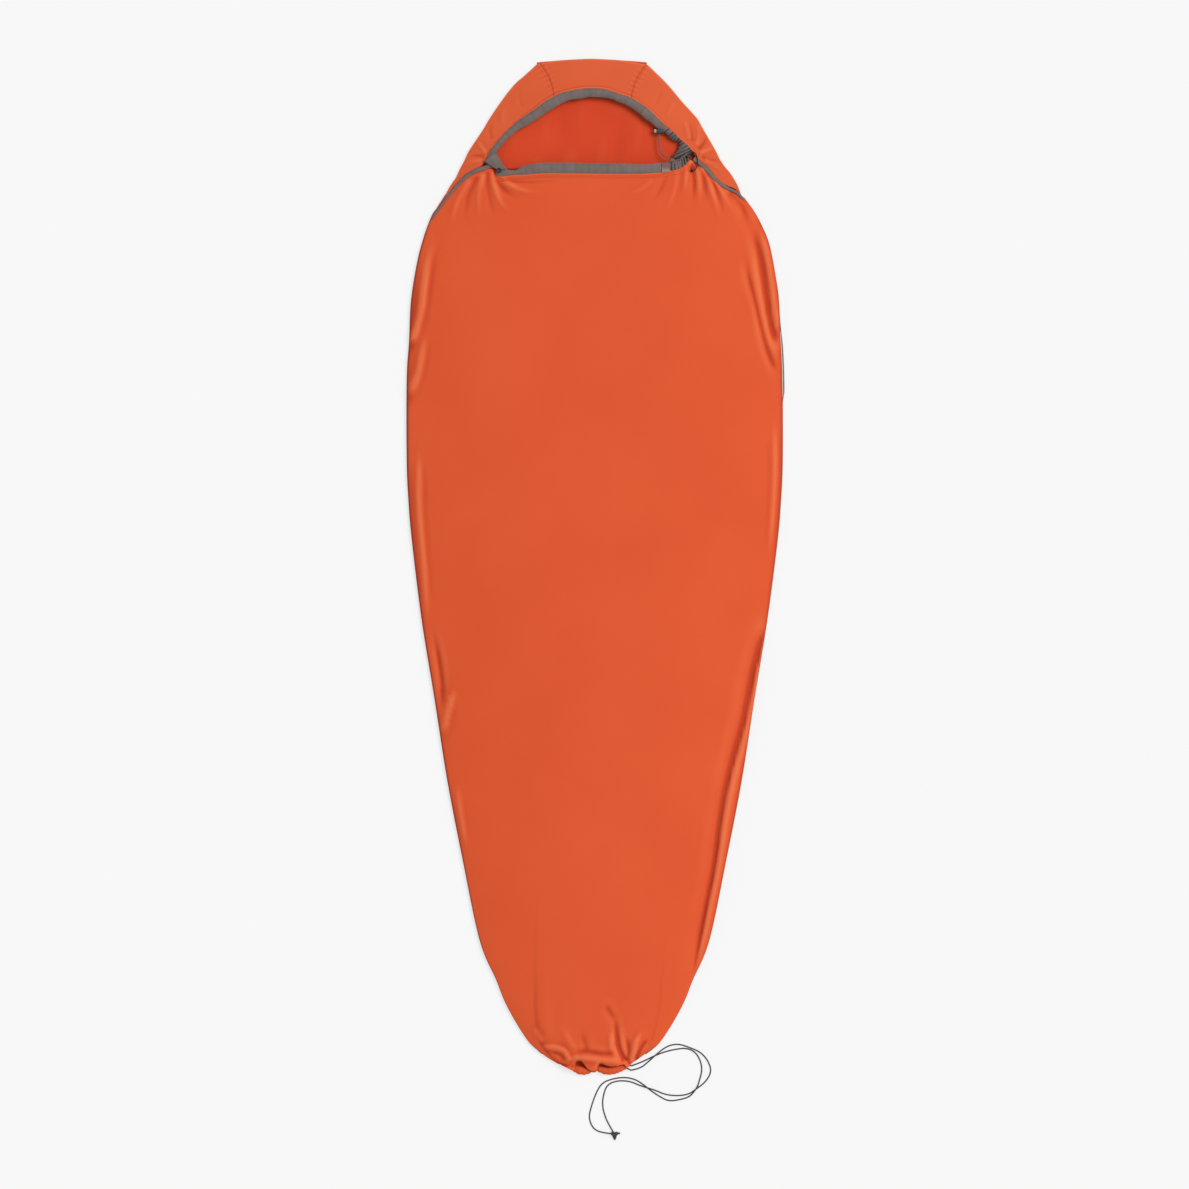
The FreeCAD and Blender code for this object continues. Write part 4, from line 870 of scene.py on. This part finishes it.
def grey_tape(name, tone, light):
    """Polyester binding tape: matt, finely ribbed across its length."""
    made, tree, shader = new_material(name)
    where = add(tree, "ShaderNodeTexCoord")
    # ribs 1.2 mm apart along the tape's own length
    ribs = add(tree, "ShaderNodeTexWave", {"Vector": where.outputs["UV"],
                                           "Scale": WAVE_PERIOD / 0.0012, "Distortion": 0.8},
               bands_direction="Y")
    patches = add(tree, "ShaderNodeTexNoise", {"Vector": where.outputs["Object"], "Scale": 45.0,
                                               "Detail": 3.0})
    ramp = add(tree, "ShaderNodeValToRGB", {"Fac": patches.outputs["Fac"]})
    ramp.color_ramp.elements[0].position = 0.3
    ramp.color_ramp.elements[0].color = linear(tone)
    ramp.color_ramp.elements[1].position = 0.75
    ramp.color_ramp.elements[1].color = linear(light)
    bump = add(tree, "ShaderNodeBump", {"Height": ribs.outputs["Fac"], "Strength": 0.35,
                                        "Distance": 0.0003})
    # painted shade: the tape is darkened between the puckers' ridges
    crest = add(tree, "ShaderNodeAttribute", attribute_name="crest")
    deep = add(tree, "ShaderNodeMapRange", {"Value": crest.outputs["Fac"], "From Min": 0.0,
                                            "From Max": -0.6, "To Max": 0.7})
    valley_painted_shade = add(tree, "ShaderNodeMix", {"Factor": deep.outputs["Result"]}, data_type="RGBA")
    tree.links.new(ramp.outputs["Color"], valley_painted_shade.inputs[6])
    # painted shade colour between the puckers
    valley_painted_shade.inputs[7].default_value = linear("2e2725")
    tree.links.new(valley_painted_shade.outputs[2], shader.inputs["Base Color"])
    tree.links.new(bump.outputs["Normal"], shader.inputs["Normal"])
    shader.inputs["Roughness"].default_value = 0.85
    shader.inputs["Sheen Weight"].default_value = 0.1
    return made


tape = grey_tape("polyester_binding_tape_grey", "6a5d58", "786b66")


def side_strip(name, node, strip, sign):
    """The strip's two edges: on top over the shoulder, then round the low edge to the foot."""
    upper = along(through([a for a, b in strip]), 60)
    lower = along(through([b for a, b in strip]), 60)
    lift = 0.0013
    top_a = np.column_stack([upper, dome(upper[:, 0], upper[:, 1]) + lift])
    top_b = np.column_stack([lower, dome(lower[:, 0], lower[:, 1]) + lift])
    y = np.linspace(lower[-1, 1] - 0.003, -1.01, 330)
    reach = np.abs(left_edge(y) if sign < 0 else right_edge(y))
    bulge = np.zeros_like(y)
    if sign > 0:
        bulge = 0.006 * smooth((0.53 - y) / 0.08) * smooth((y - 0.335) / 0.03)
    edge_b = np.column_stack([sign * (reach + 0.25 * bulge), y, np.full_like(y, 0.0076)])
    edge_a = np.column_stack([sign * (reach - 0.003 + 1.1 * bulge), y, np.full_like(y, 0.0018)])
    side_a = np.concatenate([top_a, edge_a])
    side_b = np.concatenate([top_b, edge_b])
    for side in (side_a, side_b):
        # ease the turn from the top to the edge
        for _ in range(8):
            side[52:72] = (side[51:71] + side[52:72] * 2 + side[53:73]) / 4
    rows = []
    out = np.concatenate([np.zeros(60), np.ones(len(y))])
    for t in np.linspace(0, 1, 7):
        mid = side_a + (side_b - side_a) * t
        swell = 0.001 * math.sin(math.pi * t)
        mid[:, 0] += sign * swell * out
        mid[:, 2] += swell * (1 - out)
        rows.append(mid)
    grid = np.stack(rows, axis=1)
    if sign > 0:
        grid = grid[:, ::-1]
    made = cloth_mesh(name, grid, tape, 0.0008)
    settle(made, node)


side_strip("side_strip_left", "left_side_strip", LEFT_STRIP, -1)
side_strip("side_strip_right", "right_side_strip", RIGHT_STRIP, 1)

# ---------------------------------------------------------------------------
# Bindings round the face opening
# The same tape folded into a soft tube round the cloth's edge with a drawcord
# inside, 18 mm wide round the face and 23 mm at the throat, narrower at the ends.
# Both are drawn up into puckers at the right corner.
# ---------------------------------------------------------------------------

NECK_TOP = mm([
    (-202, 829), (-193, 826.2), (-184, 824), (-177, 821.2), (-171, 819.8), (-163, 820.3),
    (-156, 824.5), (-148, 829.8), (-124, 833.8), (-100, 836), (-53, 835.8), (0, 834.5),
    (41, 834.5), (88, 833), (111, 833), (138, 835.8), (156, 838.5), (166, 839.5), (174.5, 841.5),
    (181, 846), (186, 851), (191, 856.5),
])


def rim_height(x, y):
    return np.maximum(dome(x, y) + 0.0012, 0.0178)


def binding(name, node, first, second, height, pucker_from, pucker, sink, seed,
            count=420, ring=24):
    """A flattened soft tube between two edges, puckered from a share of its length on."""
    a = through(first, 10)
    b = through(second, 10)
    mid = (a + b) / 2
    reach = np.concatenate([[0], np.cumsum(np.hypot(*np.diff(mid, axis=0).T))])
    at = np.linspace(0, reach[-1], count)
    a = np.stack([np.interp(at, reach, a[:, k]) for k in (0, 1)], axis=1)
    b = np.stack([np.interp(at, reach, b[:, k]) for k in (0, 1)], axis=1)
    mid = (a + b) / 2
    half = (b - a) / 2
    level = height(mid[:, 0], mid[:, 1])
    share = np.linspace(0, 1, count)
    rng = np.random.default_rng(seed)
    tight = smooth((share - pucker_from) / 0.08)
    wave = np.sin(2 * math.pi * at / 0.0085 + 2 * np.sin(share * 40))
    wave2 = np.sin(2 * math.pi * at / 0.0061 + rng.random() * 6)
    gentle = np.sin(2 * math.pi * at / 0.031 + rng.random() * 6) + 0.6 * np.sin(
        2 * math.pi * at / 0.013 + rng.random() * 6)
    rows = []
    for k in range(ring):
        turn = 2 * math.pi * k / ring
        s = math.cos(turn)
        h = math.sin(turn)
        flat = abs(s) ** 0.75 * math.copysign(1, s)
        wide = 1 + 0.022 * gentle + pucker * 22 * wave2 * tight
        thick = 0.0021 + 0.0008 * math.exp(-((s + 0.15) / 0.35) ** 2) + 0.0009 * tight
        rise = thick * h * (0.35 + 0.65 * abs(h)) + 0.00022 * gentle * (0.5 + 0.5 * h)
        lift = pucker * tight * (wave * (0.6 - 0.4 * s) + 0.5 * wave2) * (0.5 + 0.5 * h)
        lift = lift - sink * tight * (0.5 + 0.5 * s) ** 1.3
        place = mid + half * (wide * flat)[:, None]
        z = level + rise + lift
        if height is rim_height:
            # the rim's end lies low, which leaves the throat's lock room to slide
            off = np.hypot(place[:, 0] - 0.199, place[:, 1] - 0.8535)
            z = z - 0.0075 * np.exp(-(off / 0.0105) ** 4)
        rows.append(np.column_stack([place, np.maximum(z, 0.006)]))
    grid = np.stack(rows, axis=1)
    made = cloth_mesh(name, grid, tape, 0, closed=True)
    work = bmesh.new()
    work.from_mesh(made.data)
    work.verts.ensure_lookup_table()
    last = (count - 1) * ring
    work.faces.new([work.verts[k] for k in range(ring)][::-1])
    work.faces.new([work.verts[last + k] for k in range(ring)])
    bmesh.ops.recalc_face_normals(work, faces=work.faces)
    work.to_mesh(made.data)
    work.free()
    made.data.shade_smooth()
    settle(made, node)
    return made


rim = binding("hood_rim", "hood_rim_binding", RIM_OUTER, RIM_INNER, rim_height,
              pucker_from=0.82, pucker=0.003, sink=0.005, seed=41)
neck = binding("neck_band", "neck_binding", NECK_LOW, NECK_TOP, neck_height,
               pucker_from=0.84, pucker=0.0024, sink=0.0012, seed=42)

# ---------------------------------------------------------------------------
# Foot hem
# The front and back sheets are rolled into one hem and drawn up on its cord,
# so the hem lies in tight puckers round the small gap that is left.
# ---------------------------------------------------------------------------

HEM_RING = [
    # place and thickness, all the way round: the low side in two lobes, the rest under the lip
    (-0.056, -1.031, 0.005, 0.0026), (-0.049, -1.0365, 0.0052, 0.0036),
    (-0.041, -1.0405, 0.0074, 0.0064), (-0.03, -1.044, 0.0082, 0.0086),
    (-0.018, -1.045, 0.008, 0.008), (-0.007, -1.0425, 0.0074, 0.0058),
    (0.004, -1.0405, 0.007, 0.005), (0.014, -1.043, 0.0074, 0.0066),
    (0.026, -1.0455, 0.0078, 0.0076), (0.04, -1.044, 0.008, 0.0078),
    (0.053, -1.0405, 0.0078, 0.0068), (0.062, -1.037, 0.0072, 0.0054),
    (0.072, -1.03, 0.0062, 0.0034), (0.06, -1.023, 0.009, 0.0028),
    (0.03, -1.0205, 0.012, 0.0026), (0.0, -1.019, 0.012, 0.0026),
    (-0.03, -1.017, 0.0115, 0.0026), (-0.052, -1.023, 0.007, 0.0026),
]
HEM_TURNS, HEM_SIDES = 420, 18
ring = np.array(HEM_RING + HEM_RING[:1])
ring = np.concatenate([ring[-3:-1], ring, ring[1:2]])
ring = along(through(ring, 14)[28:-14], HEM_TURNS + 1)[:-1]
ahead = np.roll(ring[:, :3], -1, axis=0) - np.roll(ring[:, :3], 1, axis=0)
ahead /= np.linalg.norm(ahead, axis=1)[:, None]
outward = np.cross(ahead, (0, 0, 1.0))
outward /= np.linalg.norm(outward, axis=1)[:, None]
turn = np.linspace(0, 2 * math.pi, HEM_TURNS, endpoint=False)
pucker = 0.6 * np.sin(31 * turn + 1.3 * np.sin(5 * turn)) + 0.35 * np.sin(53 * turn + 2)
rows = []
for k in range(HEM_SIDES):
    a = 2 * math.pi * k / HEM_SIDES
    swell = ring[:, 3] * (1 + 0.1 * pucker * (0.6 + 0.4 * math.cos(a)))
    rows.append(ring[:, :3] + outward * (swell * math.cos(a))[:, None]
                + np.array([0, 0, 1.0]) * (swell * 0.88 * math.sin(a))[:, None])
grid = np.stack(rows, axis=1)
grid[..., 2] = np.maximum(grid[..., 2], 0.0006)
hem = cloth_mesh("foot_hem_roll", np.concatenate([grid, grid[:1]]), shell_knit, 0, closed=True)
work = bmesh.new()
work.from_mesh(hem.data)
bmesh.ops.remove_doubles(work, verts=work.verts, dist=1e-6)
bmesh.ops.recalc_face_normals(work, faces=work.faces)
work.to_mesh(hem.data)
work.free()
hem.data.shade_smooth()
settle(hem, "foot_hem")

# ---------------------------------------------------------------------------
# Label, corner tab and cord anchor
# Small sewn pieces: a bare woven label across the throat binding, the rim's end
# folded over the left corner with its ring, and the tab that holds the cord.
# ---------------------------------------------------------------------------

def patch(name, node, first, second, lift, thick, material, rows=31, cols=17):
    """A small sewn strip between two edges."""
    a = along(through(first), rows)
    b = along(through(second), rows)
    t = np.linspace(0, 1, cols)[None, :, None]
    plan = a[:, None] + (b - a)[:, None] * t
    Z = lift(plan[..., 0], plan[..., 1])
    grid = np.concatenate([plan, Z[..., None]], axis=2)[:, ::-1]
    made = cloth_mesh(name, grid, material, thick)
    settle(made, node)


label_weave, tree, shader = new_material("damask_woven_label_bare")
where = add(tree, "ShaderNodeTexCoord")
weave = add(tree, "ShaderNodeTexChecker", {"Vector": where.outputs["Object"], "Scale": 1 / 0.0008})
weave.inputs["Color1"].default_value = (0.94, 0.94, 0.94, 1)
weave.inputs["Color2"].default_value = (1, 1, 1, 1)
split = add(tree, "ShaderNodeSeparateXYZ", {"Vector": where.outputs["Object"]})
# the upper part is woven darker, from 0.8225 m up the bag
level = add(tree, "ShaderNodeMapRange", {"Value": split.outputs["Y"], "From Min": 0.8215,
                                         "From Max": 0.827})
field = add(tree, "ShaderNodeMix", {"Factor": level.outputs["Result"]}, data_type="RGBA")
field.inputs[6].default_value = linear("927a75")
field.inputs[7].default_value = linear("785752")
both = add(tree, "ShaderNodeMix", {"Factor": 1.0}, data_type="RGBA", blend_type="MULTIPLY")
tree.links.new(field.outputs[2], both.inputs[6])
tree.links.new(weave.outputs["Color"], both.inputs[7])
tree.links.new(both.outputs[2], shader.inputs["Base Color"])
shader.inputs["Roughness"].default_value = 0.8
patch("label", "neck_label", [(0.1392, 0.8345), (0.1474, 0.8355), (0.1555, 0.837)],
      [(0.1392, 0.815), (0.1474, 0.8158), (0.1555, 0.8175)],
      lambda x, y: neck_height(x, y) + 0.0036, 0.0006, label_weave)
patch("corner_tab", "left_corner_tab",
      [(-0.23, 0.839), (-0.216, 0.83), (-0.205, 0.8235), (-0.1985, 0.82)],
      [(-0.204, 0.858), (-0.197, 0.845), (-0.19, 0.833), (-0.183, 0.8245)],
      lambda x, y: 0.0236 + (x + 0.203) * 0.12 + 0.0016 * np.cos((x + y - 0.627) * 90), 0.0018,
      tape)

# ---------------------------------------------------------------------------
# Hood and throat cords with their locks
# A 3 mm grey cord leaves the rim by a slit, runs through a small moulded lock and
# is sewn down on the throat binding. The throat has a thin dark elastic cord.
# ---------------------------------------------------------------------------

grey_braid = braided_cord("braided_polyester_hood_cord", "5c524f", "857975", 0.0012)
dark_braid = braided_cord("covered_elastic_throat_cord", "1d0d10", "3c2024", 0.0009)


def moulded_nylon(name, tone, rough):
    """Injection-moulded nylon with a fine spark-eroded grain."""
    made, tree, shader = new_material(name)
    where = add(tree, "ShaderNodeTexCoord")
    grain = add(tree, "ShaderNodeTexNoise", {"Vector": where.outputs["Object"],
                                             "Scale": 1 / 0.0006, "Detail": 2.0})
    ramp = add(tree, "ShaderNodeMapRange", {"Value": grain.outputs["Fac"], "To Min": rough - 0.08,
                                            "To Max": rough + 0.08})
    bump = add(tree, "ShaderNodeBump", {"Height": grain.outputs["Fac"], "Strength": 0.2,
                                        "Distance": 0.0001})
    tree.links.new(ramp.outputs["Result"], shader.inputs["Roughness"])
    tree.links.new(bump.outputs["Normal"], shader.inputs["Normal"])
    shader.inputs["Base Color"].default_value = linear(tone)
    shader.inputs["IOR"].default_value = 1.53
    return made


black_nylon = moulded_nylon("moulded_nylon_black", "1d1b1d", 0.45)
pale_nylon = moulded_nylon("moulded_nylon_pale_grey", "b9afa6", 0.4)
spring_wire, tree, shader = new_material("drawn_spring_steel")
shader.inputs["Base Color"].default_value = linear("a8a8aa")
shader.inputs["Metallic"].default_value = 1.0
shader.inputs["Roughness"].default_value = 0.3
smoke_nylon = moulded_nylon("moulded_nylon_smoke_grey", "3b3739", 0.4)
for lock, barrel, button in (("hood", smoke_nylon, pale_nylon),
                             ("neck", black_nylon, black_nylon)):
    paint(f"{lock}_lock_barrel", barrel)
    paint(f"{lock}_lock_button", button)
    paint(f"{lock}_lock_spring", spring_wire)
HELD_CORD = 0.003
channel = through([((a[0] + b[0]) / 2, (a[1] + b[1]) / 2)
                   for a, b in zip(RIM_OUTER[1:31], RIM_INNER[1:31])])
hem_turn = [tuple(p[:3]) for p in HEM_RING[::-1]]
for name, node, route, braid in (
        ("rim_channel_cord", "hood_rim_cord",
         [(x, y, float(rim_height(x, y))) for x, y in channel[::12]], grey_braid),
        ("hem_channel_cord", "foot_hem_cord",
         [OUTER_ROUTE[0], *hem_turn[6:18], *hem_turn[:6], INNER_ROUTE[0]], foot_braid)):
    cord = plain_mesh(cord_curve(name, route, HELD_CORD, braid), name)
    settle(cord, node)
for node in ("neck_channel_cord", "neck_cord_knot", "left_corner_ring"):
    paint(node, dark_braid)
paint("hood_cord_anchor", tape)

HOOD_ROUTE = [
    (0.1439, 0.9268, 0.0125), (0.1338, 0.9161, 0.0166), (0.1335, 0.868, 0.0166),
    (0.141, 0.85, 0.019), (0.16, 0.841, 0.024),
]
hood_pull = cord_curve("hood_pull", HOOD_ROUTE, 0.003, grey_braid)
settle(hood_pull, "hood_pull_cord")
spline_length(hood_pull)

# the drawn-up throat binding's upper edge stands up as a pale round fold
FOLD_LINE = mm([(156, 838.5), (167.3, 840.2), (177.1, 842.5), (184.1, 848.5), (190.5, 854.5)])
fold_route = [(x, y, float(neck_height(x, y)) + 0.0062) for x, y in FOLD_LINE]
fold_edge = cord_curve("throat_edge_fold", fold_route, 0.0024, grey_braid)
fold_edge = plain_mesh(fold_edge, "throat_edge_fold")
settle(fold_edge)

NECK_ROUTE = [
    (0.1857, 0.8388, 0.021), (0.2012, 0.8573, 0.0196), (0.2075, 0.8585, 0.0194),
    (0.211, 0.852, 0.0194), (0.2135, 0.843, 0.0206), (0.213, 0.833, 0.0214),
    (0.2105, 0.8225, 0.0262), (0.205, 0.8185, 0.0285), (0.1995, 0.823, 0.0285),
    (0.1992, 0.8262, 0.0285),
]
neck_pull = cord_curve("neck_pull", NECK_ROUTE, 0.002, dark_braid)
settle(neck_pull, "neck_pull_cord")
spline_length(neck_pull)

# ---------------------------------------------------------------------------
# Stitching
# Grey polyester thread in rows of short stitches along both edges of the rim and
# throat bindings, and orange thread along the crown seams and below the throat.
# ---------------------------------------------------------------------------

def stitch_rows():
    """A node tree that sets one short stitch at each step along the object's edges."""
    tree = bpy.data.node_groups.new("stitch_rows", "GeometryNodeTree")
    tree.interface.new_socket("Geometry", in_out="INPUT", socket_type="NodeSocketGeometry")
    for name in ("Pitch", "Stitch", "Thread"):
        tree.interface.new_socket(name, in_out="INPUT", socket_type="NodeSocketFloat")
    tree.interface.new_socket("Material", in_out="INPUT", socket_type="NodeSocketMaterial")
    tree.interface.new_socket("Geometry", in_out="OUTPUT", socket_type="NodeSocketGeometry")
    given = add(tree, "NodeGroupInput")
    rows = add(tree, "GeometryNodeMeshToCurve", {"Mesh": given.outputs["Geometry"]})
    steps = add(tree, "GeometryNodeResampleCurve", {
        "Curve": rows.outputs["Curve"], "Length": given.outputs["Pitch"]}, mode="LENGTH")
    thread = add(tree, "GeometryNodeMeshCylinder", {
        "Radius": given.outputs["Thread"], "Depth": given.outputs["Stitch"], "Vertices": 6})
    tangent = add(tree, "GeometryNodeInputTangent")
    turn = add(tree, "FunctionNodeAlignRotationToVector",
               {"Vector": tangent.outputs["Tangent"]}, axis="Z")
    laid = add(tree, "GeometryNodeInstanceOnPoints", {
        "Points": steps.outputs["Curve"], "Instance": thread.outputs["Mesh"],
        "Rotation": turn.outputs["Rotation"]})
    solid = add(tree, "GeometryNodeRealizeInstances", {"Geometry": laid.outputs["Instances"]})
    dyed = add(tree, "GeometryNodeSetMaterial", {"Geometry": solid.outputs["Geometry"],
                                                 "Material": given.outputs["Material"]})
    result = add(tree, "NodeGroupOutput")
    tree.links.new(dyed.outputs["Geometry"], result.inputs["Geometry"])
    return tree


def spun_thread(name, tone):
    """Spun polyester thread: matt, with a fine uneven tone."""
    made, tree, shader = new_material(name)
    where = add(tree, "ShaderNodeTexCoord")
    fuzz = add(tree, "ShaderNodeTexNoise", {"Vector": where.outputs["Object"], "Scale": 900.0})
    ramp = add(tree, "ShaderNodeValToRGB", {"Fac": fuzz.outputs["Fac"]})
    ramp.color_ramp.elements[0].color = linear(tone)
    ramp.color_ramp.elements[1].color = [min(1, c * 1.35) for c in linear(tone)]
    tree.links.new(ramp.outputs["Color"], shader.inputs["Base Color"])
    shader.inputs["Roughness"].default_value = 0.8
    return made


def stitched(name, routes, thread, material):
    """Every row of one thread as a single plain mesh."""
    points = [tuple(p) for route in routes for p in route]
    edges, first = [], 0
    for route in routes:
        edges += [(first + k, first + k + 1) for k in range(len(route) - 1)]
        first += len(route)
    mesh = bpy.data.meshes.new(name)
    mesh.from_pydata(points, edges, [])
    rows = bpy.data.objects.new(name + "_rows", mesh)
    scene.collection.objects.link(rows)
    modifier = rows.modifiers.new("stitches", "NODES")
    modifier.node_group = STITCH_ROWS
    sockets = {item.name: item.identifier for item in STITCH_ROWS.interface.items_tree
               if item.in_out == "INPUT"}
    for key, value in (("Pitch", STITCH_PITCH), ("Stitch", STITCH_LENGTH), ("Thread", thread),
                       ("Material", material)):
        modifier[sockets[key]] = value
    depsgraph = bpy.context.evaluated_depsgraph_get()
    plain = bpy.data.meshes.new_from_object(rows.evaluated_get(depsgraph))
    bpy.data.objects.remove(rows)
    made = bpy.data.objects.new(name, plain)
    scene.collection.objects.link(made)
    settle(made)


def on_top(route, pieces, lift=0.0001):
    """The route laid on whichever of the pieces is uppermost below it."""
    laid = []
    for x, y in route:
        hits = []
        for piece in pieces:
            hit, place, _, _ = piece.ray_cast(Vector((x, y, 0.2)), Vector((0, 0, -1)))
            if hit:
                hits.append(place.z)
        if hits:
            laid.append((x, y, max(hits) + lift))
    return laid


STITCH_PITCH = 0.0036
STITCH_LENGTH = 0.0024
STITCH_ROWS = stitch_rows()
grey_thread = spun_thread("spun_polyester_thread_grey", "5f5551")
orange_thread = spun_thread("spun_polyester_thread_orange", "b8391f")
rim_rows = []
for piece, first, second in ((rim, RIM_OUTER[1:35], RIM_INNER[1:35]),
                             (neck, NECK_TOP[8:15], NECK_LOW[8:15])):
    for share in (0.16, 0.84):
        row = [(a[0] + (b[0] - a[0]) * share, a[1] + (b[1] - a[1]) * share)
               for a, b in zip(first, second)]
        rim_rows.append(on_top(through(row)[::3], [piece]))
stitched("binding_stitches", rim_rows, 0.00032, grey_thread)
seam_rows = [on_top([(x, y - 0.0052) for x, y in through(NECK_LOW[7:16])[::3]], [front])]
for share, bow in zip(SEAM_SHARES, SEAM_BOWS):
    for side in (-0.006, 0.006):
        inner = matched(rim_line, rim_knots, np.array([share + side]))[0]
        outer = matched(crown_line, crown_knots, np.array([share + side]))[0]
        row = [(inner[0] + (outer[0] - inner[0]) * t + 4 * t * (1 - t) * bow,
                inner[1] + (outer[1] - inner[1]) * t) for t in np.linspace(0.08, 0.95, 30)]
        seam_rows.append(on_top(row, hood_pieces))
stitched("seam_stitches", seam_rows, 0.0003, orange_thread)
